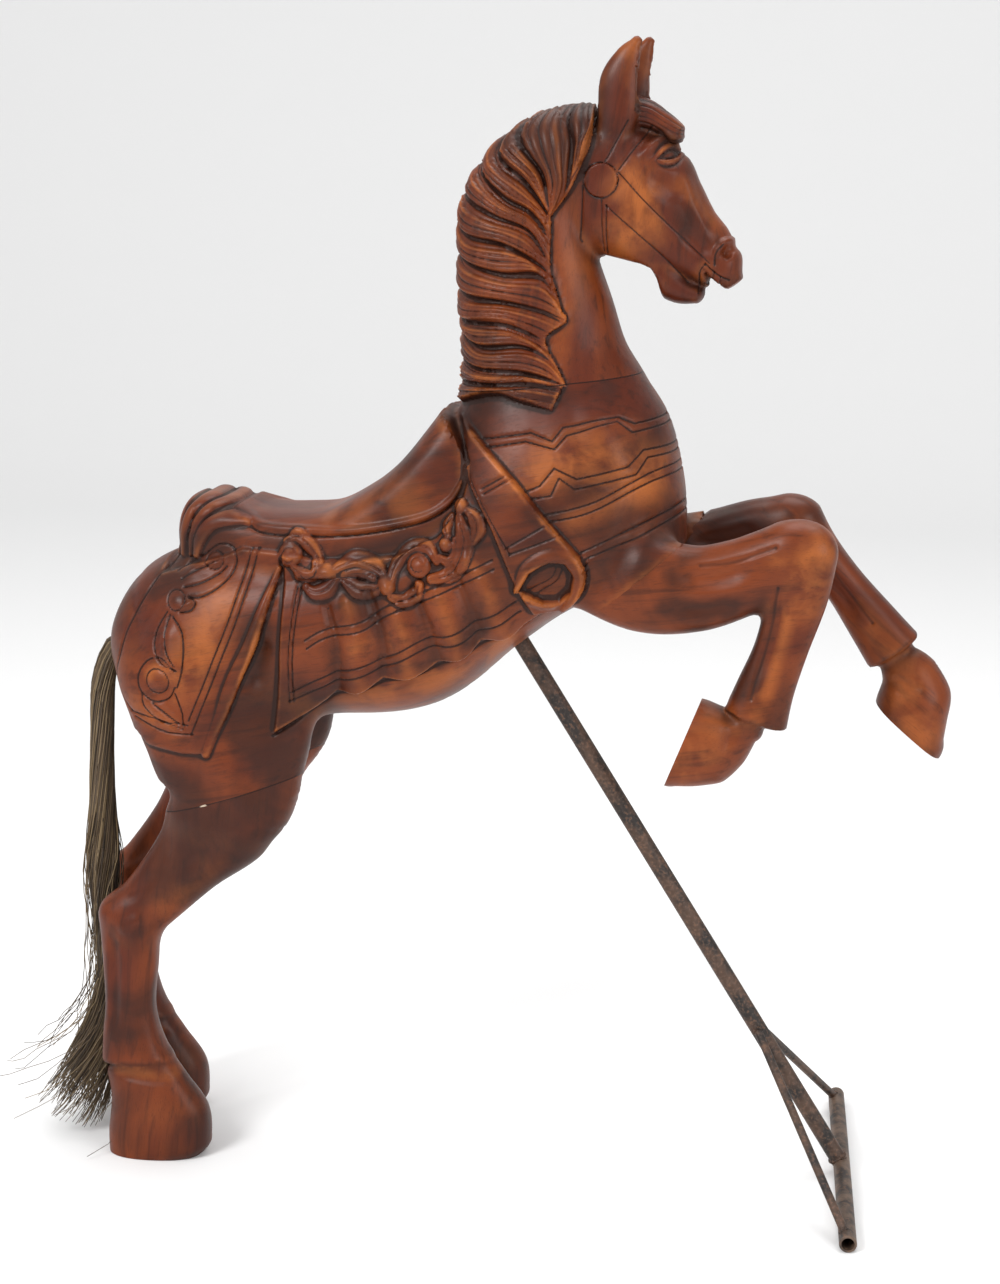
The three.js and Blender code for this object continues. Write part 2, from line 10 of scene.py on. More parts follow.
import bmesh
import bpy
import numpy as np
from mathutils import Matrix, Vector


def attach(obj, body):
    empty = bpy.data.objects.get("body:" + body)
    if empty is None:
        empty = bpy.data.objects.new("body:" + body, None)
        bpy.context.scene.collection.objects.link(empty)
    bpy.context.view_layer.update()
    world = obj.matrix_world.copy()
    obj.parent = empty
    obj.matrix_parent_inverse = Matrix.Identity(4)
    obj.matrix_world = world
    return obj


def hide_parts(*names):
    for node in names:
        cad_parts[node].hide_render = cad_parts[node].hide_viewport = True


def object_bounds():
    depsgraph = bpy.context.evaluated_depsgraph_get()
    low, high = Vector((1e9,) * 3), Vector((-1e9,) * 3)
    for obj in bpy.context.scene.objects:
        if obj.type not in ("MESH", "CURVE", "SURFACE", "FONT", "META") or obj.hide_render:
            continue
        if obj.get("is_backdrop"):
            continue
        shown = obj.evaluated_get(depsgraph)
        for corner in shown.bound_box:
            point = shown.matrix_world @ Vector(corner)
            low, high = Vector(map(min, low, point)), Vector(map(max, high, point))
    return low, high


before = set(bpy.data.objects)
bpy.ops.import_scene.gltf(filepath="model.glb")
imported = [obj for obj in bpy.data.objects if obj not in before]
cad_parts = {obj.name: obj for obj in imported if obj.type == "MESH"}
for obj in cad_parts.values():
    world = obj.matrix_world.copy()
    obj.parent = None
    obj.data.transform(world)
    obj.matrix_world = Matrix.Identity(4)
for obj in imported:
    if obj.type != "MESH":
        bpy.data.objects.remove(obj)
cad_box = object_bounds()
MM = 0.001
print("frame:", sorted(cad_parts), [round(v, 3) for v in cad_box[1] - cad_box[0]])

# %% [markdown]
# ## How the wood is shaped
# A carver roughs out each limb as a bar of changing section and rounds it into its neighbours. A limb here
# is the same thing: a row of stations [x, z, up, down, half, side], which say where its spine runs, how far
# its outline reaches to either side of the spine, its half width and its distance from the middle of the
# horse. A surface could be lofted through the stations, but lofts meet in hard creases. So each limb also
# answers how far a point is from its skin. Such distances can be blended, and the blend is the fillet that
# a gouge leaves.

# %% Limbs as fields of distance
STEPS = 16  # how many places between two stations are worked out
REACH = 50.0  # past this distance from a limb's box nobody asks how far exactly


def spline(rows, t):
    """The values of a row of number lists at the places t, on a Catmull-Rom curve."""
    i = np.clip(t.astype(int), 0, len(rows) - 2)
    f = (t - i)[:, None]
    a, b, d, e = (rows[np.clip(i + k, 0, len(rows) - 1)] for k in (-1, 0, 1, 2))
    return b + 0.5 * f * (d - a + f * (2 * a - 5 * b + 4 * d - e + f * (3 * (b - d) + e - a)))


def nearest(points, marks, chunk=4000):
    """The index of the mark that is nearest to each point."""
    found = np.empty(len(points), int)
    middle = marks.mean(0)
    points, marks = (points - middle).astype(np.float32), (marks - middle).astype(np.float32)
    square, twice = (marks**2).sum(1), np.ascontiguousarray(-2 * marks.T)
    for k in range(0, len(points), chunk):
        found[k : k + chunk] = np.argmin(points[k : k + chunk] @ twice + square, axis=1)
    return found


class Member:
    """A part of a block's form. It tells how far points are from its skin, in mm: less than 0 inside."""

    def away(self, points):
        rings = np.concatenate(self.skin())
        close = ((points > rings.min(0) - REACH) & (points < rings.max(0) + REACH)).all(1)
        found = np.full(len(points), 2.0 * REACH)
        found[close] = self.distance(points[close])
        return found


class Limb(Member):
    def __init__(self, square, caps, stations, hand=1):
        rows = np.array(stations, float)
        spans = len(rows) - 1
        self.rows = spline(rows, np.linspace(0, spans, spans * STEPS + 1))
        self.rows[:, 5] *= hand
        run = np.gradient(self.rows[:, :2], axis=0)
        self.step = np.linalg.norm(run, axis=1)
        self.way = run / self.step[:, None]
        self.square, self.caps = square, caps

    def skin(self, sides=18, every=5):
        """Rings of points round the limb, from one rounded end to the other."""
        rings = []
        turn = np.linspace(0, 2 * np.pi, sides, endpoint=False)
        up = np.sign(np.cos(turn)) * np.abs(np.cos(turn)) ** (2 / self.square)
        out = np.sign(np.sin(turn)) * np.abs(np.sin(turn)) ** (2 / self.square)
        last = len(self.rows) - 1
        ends = [(0, -self.caps[0], v) for v in (89, 60, 30)]
        middle = [(i, 0, 0) for i in range(0, last + 1, every)]
        ends_after = [(last, self.caps[1], v) for v in (30, 60, 89)]
        for i, cap, angle in ends + middle + ends_after:
            x, z, left, right, half, side = self.rows[i]
            scale, ahead = math.cos(math.radians(angle)), cap * math.sin(math.radians(angle))
            reach = np.where(up > 0, left, right) * up * scale
            tx, tz = self.way[i]
            across = side + half * scale * out
            rings.append(np.stack([x + tx * ahead - tz * reach, across, z + tz * ahead + tx * reach], 1))
        return rings

    def distance(self, points):
        spot = points[:, [0, 2]]
        i = nearest(spot, self.rows[:, :2])
        last = len(self.rows) - 1
        t = np.clip(i + ((spot - self.rows[i, :2]) * self.way[i]).sum(1) / self.step[i], 0, last)
        k = np.minimum(t.astype(int), last - 1)
        f = (t - k)[:, None]
        x, z, up, down, half, side = (self.rows[k] * (1 - f) + self.rows[k + 1] * f).T
        tx, tz = (self.way[k] * (1 - f) + self.way[k + 1] * f).T
        dx, dz, out = points[:, 0] - x, points[:, 2] - z, points[:, 1] - side
        ahead, left = dx * tx + dz * tz, dz * tx - dx * tz
        cap = np.where(t <= 0, np.minimum(ahead, 0) / self.caps[0], 0)
        cap = np.where(t >= last, np.maximum(ahead, 0) / self.caps[1], cap)
        n = self.square
        reach = np.where(left > 0, up, down)
        a, b = np.abs(left) / reach + 1e-4, np.abs(out) / half + 1e-4
        flat = (a**n + b**n) ** (1 / n)
        size = np.hypot(flat, cap)
        slope = flat ** (2 - n) * np.hypot(a ** (n - 1) / reach, b ** (n - 1) / half)
        slope = np.hypot(slope, np.abs(cap) / np.where(t <= 0, self.caps[0], self.caps[1])) / size
        return (size - 1) / slope


trial_bar = Limb(2, (10, 10), [[0, 0, 10, 10, 10, 0], [100, 0, 10, 10, 10, 0]])
print("a point 5 mm off a round bar:", trial_bar.away(np.array([[50.0, 15.0, 0.0]])).round(2))

# %% Round bars, and the fillet between two forms
class Tube(Member):
    """A round bar along a path of points, its radius running along `radii`."""

    def __init__(self, path, radii, steps=10):
        spans = len(path) - 1
        t = np.linspace(0, spans, spans * steps + 1)
        self.path = spline(np.array(path, float), t)
        widths = np.array(radii, float)[:, None]
        self.radii = spline(widths, t / spans * (len(widths) - 1))[:, 0]

    def skin(self, sides=8, every=2):
        way = np.gradient(self.path, axis=0)
        turn = np.linspace(0, 2 * np.pi, sides, endpoint=False)
        rings = []
        for p, r, w in list(zip(self.path, self.radii, way))[::every]:
            w = w / np.linalg.norm(w)
            a = np.cross(w, [0.3, 0.2, 0.93])
            a /= np.linalg.norm(a)
            b = np.cross(w, a)
            rings.append(p + r * (np.cos(turn)[:, None] * a + np.sin(turn)[:, None] * b))
        return rings

    def distance(self, points):
        i = nearest(points, self.path)
        return np.linalg.norm(points - self.path[i], axis=1) - self.radii[i]


def blend(a, b, k):
    """The union of two distances with a fillet of about the size k."""
    h = np.maximum(k - np.abs(a - b), 0) / k
    return np.minimum(a, b) - h * h * k / 4


print("where two skins cross, a fillet of 20 fills", -blend(np.zeros(1), np.zeros(1), 20)[0], "mm")

# %% [markdown]
# ## The stations of the horse
# These are the same tables as in the frame's construction, in millimetres, so that every piece of wood lies
# where the frame has it. The horse faces +X and its near side is -Y.

# %% Trunk, neck and head
TRUNK = Limb(2.3, (66, 60), [
    [-388, 650, 84, 108, 88, 0],
    [-335, 666, 116, 116, 114, 0],
    [-255, 688, 114, 106, 124, 0],
    [-165, 698, 112, 118, 124, 0],
    [-70, 716, 122, 122, 126, 0],
    [20, 758, 132, 94, 128, 0],
    [105, 818, 138, 90, 122, 0],
    [170, 868, 110, 90, 110, 0],
])
NECK = Limb(2.3, (55, 30), [
    [118, 800, 140, 154, 108, 0],
    [110, 868, 138, 158, 120, 0],
    [104, 930, 124, 150, 114, 0],
    [96, 985, 104, 128, 94, 0],
    [90, 1035, 88, 108, 76, 0],
    [88, 1090, 88, 92, 66, 0],
    [86, 1150, 88, 74, 59, 0],
    [88, 1205, 86, 62, 54, 0],
    [106, 1256, 64, 60, 50, 0],
    [142, 1290, 40, 70, 46, 0],
])
HEAD = Limb(2.4, (40, 20), [
    [168, 1268, 54, 66, 47, 0],
    [205, 1228, 74, 90, 51, 0],
    [234, 1196, 66, 68, 45, 0],
    [263, 1170, 54, 38, 37, 0],
    [290, 1152, 44, 31, 32, 0],
    [310, 1139, 30, 25, 31, 0],
])
JAW = Limb(2.3, (20, 8), [
    [205, 1168, 20, 18, 34, 0],
    [236, 1136, 22, 24, 30, 0],
    [259, 1118, 16, 20, 27, 0],
    [281, 1110, 10, 12, 24, 0],
])
FORELOCK = Limb(2.6, (16, 5), [
    [184, 1316, 26, 24, 26, 0],
    [212, 1321, 19, 17, 28, 0],
    [236, 1312, 14, 14, 27, 0],
    [256, 1300, 9, 9, 22, 0],
])
EAR = [
    [176, 1290, 18, 22, 13, 30],
    [186, 1326, 24, 24, 14, 30],
    [190, 1360, 25, 22, 13, 30],
    [199, 1388, 16, 16, 10, 29],
    [207, 1403, 7, 7, 7, 28],
]
EAR_LEAN = 8  # how far the far ear stands in front of the near one
SADDLE = Limb(3.6, (26, 20), [
    [-336, 798, 56, 50, 62, 0],
    [-312, 796, 58, 56, 78, 0],
    [-262, 790, 52, 60, 92, 0],
    [-214, 790, 50, 60, 102, 0],
    [-157, 796, 50, 60, 108, 0],
    [-100, 822, 52, 60, 112, 0],
    [-45, 868, 48, 60, 112, 0],
    [5, 925, 50, 60, 104, 0],
    [30, 965, 48, 50, 90, 0],
])
for name, limb in (("trunk", TRUNK), ("neck", NECK), ("head", HEAD), ("saddle", SADDLE)):
    print(name, "runs from", limb.rows[0, :2].round(), "to", limb.rows[-1, :2].round(), "mm")

# %% Legs
NEAR, FAR = -1, 1
HIND_LEAN = 50  # how far the far hind hoof stands behind the near one


def leg(hand, arm, shin, hoof, sole):
    """A leg: its arm or thigh, its shin and its hoof, and the line of its sole in the side view."""
    return {
        "arm": Limb(arm[0], arm[1], arm[2], hand),
        "shin": Limb(shin[0], shin[1], shin[2], hand),
        "hoof": Limb(hoof[0], hoof[1], hoof[2], hand),
        "sole": sole,
        "hand": hand,
    }


FORE_NEAR = leg(
    NEAR,
    (2.4, (40, 34), [[160, 806, 66, 66, 44, 72], [230, 775, 56, 64, 44, 78], [290, 768, 50, 54, 38, 82],
                     [345, 782, 46, 47, 35, 84], [400, 808, 42, 46, 34, 84]]),
    (2.6, (38, 6), [[418, 815, 42, 36, 33, 84], [408, 765, 42, 30, 30, 84], [392, 700, 36, 28, 27, 83],
                    [378, 650, 35, 34, 28, 82], [366, 612, 40, 38, 32, 82]]),
    (2.4, (14, 30), [[362, 604, 22, 18, 24, 82], [340, 598, 46, 20, 33, 82], [312, 590, 61, 42, 42, 82],
                     [284, 580, 58, 52, 44, 82], [256, 571, 50, 54, 44, 82]]),
    [[300, 628], [259, 526]],
)
FORE_FAR = leg(
    FAR,
    (2.4, (40, 34), [[160, 806, 66, 66, 44, 72], [230, 782, 50, 60, 44, 78], [290, 790, 44, 46, 38, 82],
                     [350, 808, 42, 42, 35, 84], [388, 816, 40, 40, 34, 84]]),
    (2.6, (36, 6), [[400, 818, 38, 36, 33, 84], [426, 788, 29, 28, 30, 84], [460, 748, 26, 26, 27, 83],
                    [496, 701, 32, 31, 28, 82], [522, 664, 39, 34, 32, 82]]),
    (2.4, (14, 30), [[526, 655, 28, 20, 24, 82], [538, 632, 44, 28, 33, 82], [545, 603, 53, 42, 42, 82],
                     [551, 572, 44, 50, 44, 82], [557, 545, 34, 52, 44, 82]]),
    [[506, 599], [582, 535]],
)


def hind(hand, lean):
    """A hind leg that leans back by `lean` from the hip down."""

    def leaning(stations):
        return [[x - lean * min(1, max(0, (600 - z) / 150)), z, *rest] for x, z, *rest in stations]

    made = leg(
        hand,
        (2.3, (60, 30), leaning([[-325, 640, 95, 96, 46, 76], [-300, 560, 118, 100, 48, 82],
                                 [-290, 500, 92, 90, 46, 84], [-296, 460, 76, 66, 42, 84]])),
        (2.6, (30, 6), leaning([[-425, 318, 36, 40, 31, 80], [-427, 255, 36, 35, 27, 80],
                                [-427, 200, 32, 34, 26, 80], [-428, 160, 38, 37, 29, 80],
                                [-426, 128, 48, 41, 34, 80]])),
        (2.4, (14, 30), leaning([[-421, 118, 46, 42, 30, 80], [-412, 86, 58, 46, 34, 80],
                                 [-402, 46, 74, 60, 39, 80], [-396, 10, 70, 66, 40, 80]])),
        [[-460 - lean, 0], [-330 - lean, 0]],
    )
    gaskin = leaning([[-270, 486, 44, 72, 40, 84], [-302, 452, 68, 64, 41, 84], [-350, 395, 50, 46, 35, 82],
                      [-395, 345, 42, 38, 31, 80], [-422, 312, 36, 40, 31, 80]])
    made["gaskin"] = Limb(2.3, (30, 26), gaskin, hand)
    return made


HIND_NEAR, HIND_FAR = hind(NEAR, 0), hind(FAR, HIND_LEAN)

# The glue faces between the blocks, by two points of each in the side view.
NECK_JOINT = [[16, 996], [219, 1016]]
HIP_JOINT = [[-351, 469], [-185, 521]]
ELBOW_JOINT = [[180, 740], [262, 809]]
GAP = 0.3  # the glue line between two blocks


def past(points, line):
    """How far points lie to the right of the way along a line in the side view."""
    (ax, az), (bx, bz) = line
    length = math.hypot(bx - ax, bz - az)
    return ((points[:, 0] - ax) * (bz - az) - (points[:, 2] - az) * (bx - ax)) / length


print("trunk spine:", TRUNK.rows[0, :2], "to", TRUNK.rows[-1, :2], "mm")

# %% [markdown]
# ## A relief drawn in the side view
# The carver draws the harness, the cloth and the scrolls on the side of the roughed out body and cuts them
# in. The relief is kept the same way, as heights over a fine grid in the side view, near and far. Boolean
# cuts on a mesh would be the other way, but hundreds of thin cuts are slow and leave bad faces. A drawn
# relief can be as fine as the grid, and the mesh only has to be dense where the drawing has an edge.

# %% Lines on the drawing board
def smooth_line(line, pitch=4.0):
    """A curve through a few points, as many close ones."""
    points = np.array(line, float)
    if len(points) == 2:
        count = max(2, int(np.linalg.norm(points[1] - points[0]) / pitch) + 1)
        return points[0] + np.linspace(0, 1, count)[:, None] * (points[1] - points[0])
    length = np.linalg.norm(np.diff(points, axis=0), axis=1).sum()
    return spline(points, np.linspace(0, len(points) - 1, max(4, int(length / pitch))))


def round_line(x, z, radius, start=0.0, end=2 * math.pi, count=17):
    """Points on a circle, or on a part of it."""
    return [[x + radius * math.cos(a), z + radius * math.sin(a)] for a in np.linspace(start, end, count)]


def ramp(value, low, high):
    """A smooth step from 0 at low to 1 at high."""
    t = np.clip((value - low) / (high - low), 0, 1)
    return t * t * (3 - 2 * t)


print("a circle drawn with", len(round_line(0, 0, 5)), "points")


# %% The drawing board
class Board:
    """Heights in mm over a grid in the side view, from corner (x0, z0)."""

    def __init__(self, x0, z0, x1, z1, pitch=1.0):
        self.x0, self.z0, self.pitch = x0, z0, pitch
        self.x = np.arange(x0, x1, pitch)
        self.z = np.arange(z0, z1, pitch)
        self.height = np.zeros((len(self.z), len(self.x)))
        self.soft = np.zeros_like(self.height)  # the part of the heights that is soft form and holds no glaze
        self.rubbed = np.zeros_like(self.height)  # where hands wear the finish; below 0 the wood is darkened, as painted shade where it follows a hollow or a crease
        self.close = np.zeros(self.height.shape, bool)  # where the block's own form needs a close mesh

    def copy(self):
        half = self.pitch / 2
        twin = type(self)(self.x0, self.z0, self.x[-1] + half, self.z[-1] + half, self.pitch)
        for name in ("height", "soft", "rubbed", "close"):
            setattr(twin, name, getattr(self, name).copy())
        return twin

    def window(self, low, high):
        i0, i1 = (int(np.clip((v - self.z0) / self.pitch, 0, len(self.z))) for v in (low[1], high[1] + 2))
        j0, j1 = (int(np.clip((v - self.x0) / self.pitch, 0, len(self.x))) for v in (low[0], high[0] + 2))
        return slice(i0, i1), slice(j0, j1)

    def trace(self, line, reach, curved=True):
        """Window on a line's surroundings, with the distance to it and the share of its length there."""
        points = smooth_line(line) if curved else np.array(line, float)
        where = self.window(points.min(0) - reach, points.max(0) + reach)
        gap = np.full(self.height[where].shape, np.inf)
        share = np.zeros_like(gap)
        run = np.concatenate([[0], np.cumsum(np.linalg.norm(np.diff(points, axis=0), axis=1))])
        for k in range(len(points) - 1):
            a, b = points[k], points[k + 1]
            part = self.window(np.minimum(a, b) - reach, np.maximum(a, b) + reach)
            rows = slice(part[0].start - where[0].start, part[0].stop - where[0].start)
            cols = slice(part[1].start - where[1].start, part[1].stop - where[1].start)
            dx = self.x[part[1]][None, :] - a[0]
            dz = self.z[part[0]][:, None] - a[1]
            way = b - a
            t = np.clip((dx * way[0] + dz * way[1]) / max(way @ way, 1e-9), 0, 1)
            d = np.hypot(dx - t * way[0], dz - t * way[1])
            closer = d < gap[rows, cols]
            gap[rows, cols] = np.where(closer, d, gap[rows, cols])
            here = (run[k] + t * (run[k + 1] - run[k])) / run[-1]
            share[rows, cols] = np.where(closer, here, share[rows, cols])
        return where, gap, share

    def inside(self, outline, reach):
        """Window on an outline's surroundings, with how far each place is inside it."""
        points = np.array(outline, float)
        closed = np.concatenate([points, points[:1]])
        where, gap, _ = self.trace(closed, reach, curved=False)
        x, z = self.x[where[1]][None, :], self.z[where[0]][:, None]
        odd = np.zeros(gap.shape, bool)
        for (ax, az), (bx, bz) in zip(points, np.roll(points, -1, axis=0)):
            if az != bz:
                odd ^= ((az > z) != (bz > z)) & (x < (bx - ax) * (z - az) / (bz - az) + ax)
        return where, np.where(odd, np.minimum(gap, 1e3), -np.minimum(gap, 1e3))

    def blurred(self, radius):
        soft = self.height
        width = max(1, int(radius / self.pitch))
        for axis in (0, 1):
            for _ in range(2):
                padded = np.pad(soft, [(width, width) if a == axis else (0, 0) for a in (0, 1)], mode="edge")
                total = np.cumsum(padded, axis=axis)
                ahead = np.take(total, range(2 * width, total.shape[axis]), axis=axis)
                behind = np.take(total, range(0, total.shape[axis] - 2 * width), axis=axis)
                soft = (ahead - behind) / (2 * width)
        return soft

    def sample(self, values, points):
        """The values at points, between the places of the grid."""
        u = np.clip((points[:, 0] - self.x0) / self.pitch, 0, len(self.x) - 1.001)
        v = np.clip((points[:, 2] - self.z0) / self.pitch, 0, len(self.z) - 1.001)
        i, j = v.astype(int), u.astype(int)
        f, g = v - i, u - j
        low = values[i, j] * (1 - g) + values[i, j + 1] * g
        high = values[i + 1, j] * (1 - g) + values[i + 1, j + 1] * g
        return low * (1 - f) + high * f


print("a board of 40 by 20 mm has", Board(0, 0, 40, 20).height.size, "places")


# %% The tools that cut the drawing
class Relief(Board):
    """A drawing board with the carver's tools."""

    def groove(self, line, width=3.6, depth=2.0, curved=True):
        where, gap, _ = self.trace(line, width, curved)
        self.height[where] -= depth * np.clip(1 - (gap / (width / 2)) ** 2, 0, 1)

    def field(self, outline, height, soft=2.5):
        """A raised field of cloth with a rounded edge."""
        where, depth = self.inside(outline, soft)
        self.height[where] += height * ramp(depth, -soft, soft)

    def swell(self, line, radii, height, fade=0.3):
        """A soft swelling of the form along a line, or a hollow where height is less than 0. It fades out at
        both ends, over the share `fade` of its length."""
        radii = np.array(radii, float)[:, None]
        where, gap, share = self.trace(line, radii.max())
        radius = spline(radii, share.ravel() * (len(radii) - 1)).reshape(gap.shape)
        form = height * ramp(1 - np.minimum(gap / radius, 1), 0, 1)
        if fade:
            form *= ramp(np.minimum(share, 1 - share), -0.02, fade)
        self.height[where] += form
        self.soft[where] += form

    def spot(self, x, z, radius, height, tall=1.0):
        """A soft round swelling, or a hollow; `tall` stretches it upwards."""
        where = self.window((x - radius, z - radius * tall), (x + radius, z + radius * tall))
        gap = np.hypot(self.x[where[1]][None, :] - x, (self.z[where[0]][:, None] - z) / tall)
        form = height * ramp(1 - np.minimum(gap / radius, 1), 0, 1)
        self.height[where] += form
        self.soft[where] += form

    def ball(self, x, z, radius, height, level):
        """A round boss that stands on the heights `level`."""
        where = self.window((x - radius, z - radius), (x + radius, z + radius))
        gap = np.hypot(self.x[where[1]][None, :] - x, self.z[where[0]][:, None] - z) / radius
        level = level[where] if isinstance(level, np.ndarray) else level
        dome = level + height * np.sqrt(np.clip(1 - gap**2, 0, 1)) - 1e3 * (gap >= 1)
        self.height[where] = np.maximum(self.height[where], dome)

    def leaf(self, line, radii, height, level, vein=0.0):
        """A rounded leaf or stem along a line, with a vein cut in its middle."""
        radii = np.array(radii, float)[:, None]
        where, gap, share = self.trace(line, radii.max() + 1)
        radius = spline(radii, share.ravel() * (len(radii) - 1)).reshape(gap.shape)
        form = height * np.sqrt(np.clip(1 - (gap / radius) ** 2, 0, 1)) * np.minimum(1, radius / 6)
        level = level[where] if isinstance(level, np.ndarray) else level
        form = level + form - vein * np.clip(1 - gap / 2, 0, 1) - 1e3 * (gap >= radius)
        self.height[where] = np.maximum(self.height[where], form)

    def rub(self, line, radius, amount):
        """Wears the finish along a line where the amount is above 0; below 0 it darkens the wood, which is
        painted shade where the line follows a hollow or a crease.
        """
        where, gap, _ = self.trace(line, radius)
        self.rubbed[where] += amount * ramp(1 - np.minimum(gap / radius, 1), 0, 1)

    def rub_or_shade_all(self, rows):
        for line, radius, amount in rows:
            self.rub(line, radius, amount)


trial_board = Relief(0, 0, 40, 20)
trial_board.groove([[0, 10], [40, 10]])
print("a cut with the V-tool is", -trial_board.height.min(), "mm deep")

# %% [markdown]
# ## From distances to a mesh
# A grid of cells is laid round each block, and a face is made wherever the blended skin passes between two
# of them. A voxel remesh cleans this rough shell, its points settle on the skin, and triangles are halved
# wherever the drawing needs finer ones. Subdividing the whole block would give the same shape, but it would
# spend most of its triangles on plain belly and thigh.

# %% Meshes as plain arrays
def arrays(mesh):
    """The points in mm and the triangles of a Blender mesh."""
    mesh.calc_loop_triangles()
    points = np.empty(len(mesh.vertices) * 3)
    mesh.vertices.foreach_get("co", points)
    triangles = np.empty(len(mesh.loop_triangles) * 3, np.int32)
    mesh.loop_triangles.foreach_get("vertices", triangles)
    return points.reshape(-1, 3) / MM, triangles.reshape(-1, 3).astype(int)


def plain_mesh(name, points, faces):
    """A Blender mesh from points in mm and faces with the same number of corners, or any number."""
    mesh = bpy.data.meshes.new(name)
    count = np.array([len(f) for f in faces])
    mesh.vertices.add(len(points))
    mesh.vertices.foreach_set("co", (np.asarray(points, float) * MM).ravel())
    mesh.loops.add(int(count.sum()))
    mesh.loops.foreach_set("vertex_index", np.concatenate([np.asarray(f, np.int32) for f in faces]).ravel())
    mesh.polygons.add(len(count))
    mesh.polygons.foreach_set("loop_start", (np.cumsum(count) - count).astype(np.int32))
    mesh.update(calc_edges=True)
    return mesh


def as_mesh(obj):
    """The object's mesh with its modifiers, free of the object."""
    graph = bpy.context.evaluated_depsgraph_get()
    return bpy.data.meshes.new_from_object(obj.evaluated_get(graph))


corner = plain_mesh("corner", [[0, 0, 0], [10, 0, 0], [0, 10, 0]], [[0, 1, 2]])
print("a triangle of 10 mm sides:", arrays(corner)[0].round(3).tolist())
bpy.data.meshes.remove(corner)

# %% A rough shell from the distances
def shell(members, away, pitch, block=4):
    """Points and faces of the skin where `away` is 0: one point in each cell of a grid that the skin passes
    through, and a face round each edge of the grid that it cuts. Only cells near the skin are worked out."""
    rings = np.concatenate([np.concatenate(member.skin()) for member in members])
    low = rings.min(0) - 2 * pitch
    count = np.ceil((rings.max(0) + 2 * pitch - low) / (pitch * block)).astype(int)
    corners = np.stack(np.meshgrid(*(np.arange(k + 1) for k in count), indexing="ij"), -1)
    rough = away(low + pitch * block * corners.reshape(-1, 3)).reshape(corners.shape[:3])
    near = np.full(count, np.inf)
    for i, j, k in np.ndindex(2, 2, 2):
        near = np.minimum(near, np.abs(rough[i:, j:, k:][:count[0], :count[1], :count[2]]))
    near, value = near < 1.8 * pitch * block, rough[:-1, :-1, :-1]
    for axis in range(3):
        near, value = near.repeat(block, axis), value.repeat(block, axis)
    value[near] = away(low + pitch * np.argwhere(near))
    size = value.shape
    total, hits, faces = np.zeros((value.size, 3)), np.zeros(value.size), []
    for axis, step in enumerate(np.eye(3, dtype=int)):
        ahead = np.roll(value, -1, axis)
        cut = (value < 0) != (ahead < 0)
        at = np.argwhere(cut)
        share = (value[cut] / (value[cut] - ahead[cut]))[:, None]
        u, v = np.roll(step, 1), np.roll(step, 2)
        ring = [np.ravel_multi_index((at - shift).T, size, mode="clip") for shift in (u + v, v, 0 * u, u)]
        for cell in ring:
            hits += np.bincount(cell, minlength=value.size)
            for k in range(3):
                total[:, k] += np.bincount(cell, (at + share * step)[:, k], value.size)
        ring = np.stack(ring, 1)
        faces.append(np.where((value[cut] < 0)[:, None], ring, ring[:, ::-1]))
    used = hits > 0
    faces = (np.cumsum(used) - 1)[np.concatenate(faces)]
    return low + pitch * total[used] / hits[used][:, None], faces


def fused(points, faces, voxel):
    """A closed skin made clean by a voxel remesh, as points and triangles."""
    obj = bpy.data.objects.new("rough", plain_mesh("rough", points, faces))
    bpy.context.collection.objects.link(obj)
    remesh = obj.modifiers.new("fuse", "REMESH")
    remesh.mode, remesh.voxel_size = "VOXEL", voxel * MM
    made = as_mesh(obj)
    found = arrays(made)
    bpy.data.meshes.remove(made)
    bpy.data.objects.remove(obj)
    return found


print("a bar of 100 mm in cells of 5 mm:", len(shell([trial_bar], trial_bar.away, 5.0)[0]), "points")

# %% Normals, edges and neighbours
def per_point(values, index, count):
    """The sum of values over an index, for each of `count` points."""
    return np.stack([np.bincount(index, values[:, c], count) for c in range(values.shape[1])], 1)


def normals(points, triangles):
    a, b, c = (points[triangles[:, k]] for k in range(3))
    face = np.cross(b - a, c - a)
    total = per_point(np.repeat(face, 3, axis=0), triangles.ravel(), len(points))
    return total / np.maximum(np.linalg.norm(total, axis=1), 1e-12)[:, None]


def edges_of(triangles):
    """Each edge once, and the three edges of every triangle."""
    pairs = np.sort(triangles[:, [[0, 1], [1, 2], [2, 0]]].reshape(-1, 2), axis=1)
    key = pairs[:, 0] * (triangles.max() + 1) + pairs[:, 1]
    _, first, back = np.unique(key, return_index=True, return_inverse=True)
    return pairs[first], back.reshape(-1, 3)


def mean_of_neighbours(values, edges):
    both = np.concatenate([edges, edges[:, ::-1]])
    count = np.bincount(both[:, 0], minlength=len(values))
    return per_point(values[both[:, 1]], both[:, 0], len(values)) / np.maximum(count, 1)[:, None]


SQUARE = np.array([[0.0, 0, 0], [1, 0, 0], [1, 1, 0], [0, 1, 0]]), np.array([[0, 1, 2], [0, 2, 3]])
print("a square has", len(edges_of(SQUARE[1])[0]), "edges, and its normals point to", normals(*SQUARE)[0])

# %% Settle points on a skin and refine the mesh
def drop(points, away, rounds, stride=15.0, probe=0.5):
    """Moves points the shortest way onto the skin where `away` is 0, however they are joined."""
    for _ in range(rounds):
        here = away(points)
        slope = np.stack([(away(points + probe * axis) - here) / probe for axis in np.eye(3)], 1)
        step = (here / np.maximum((slope**2).sum(1), 0.2))[:, None] * slope
        length = np.linalg.norm(step, axis=1)[:, None]
        points = points - step * np.minimum(1, stride / np.maximum(length, 1e-9))
    return points


def settle(points, triangles, away, rounds=2, stride=1.5):
    """Moves points a little way along their normals onto the skin where `away` is 0."""
    for _ in range(rounds):
        points = points - np.clip(away(points), -stride, stride)[:, None] * normals(points, triangles)
    return points


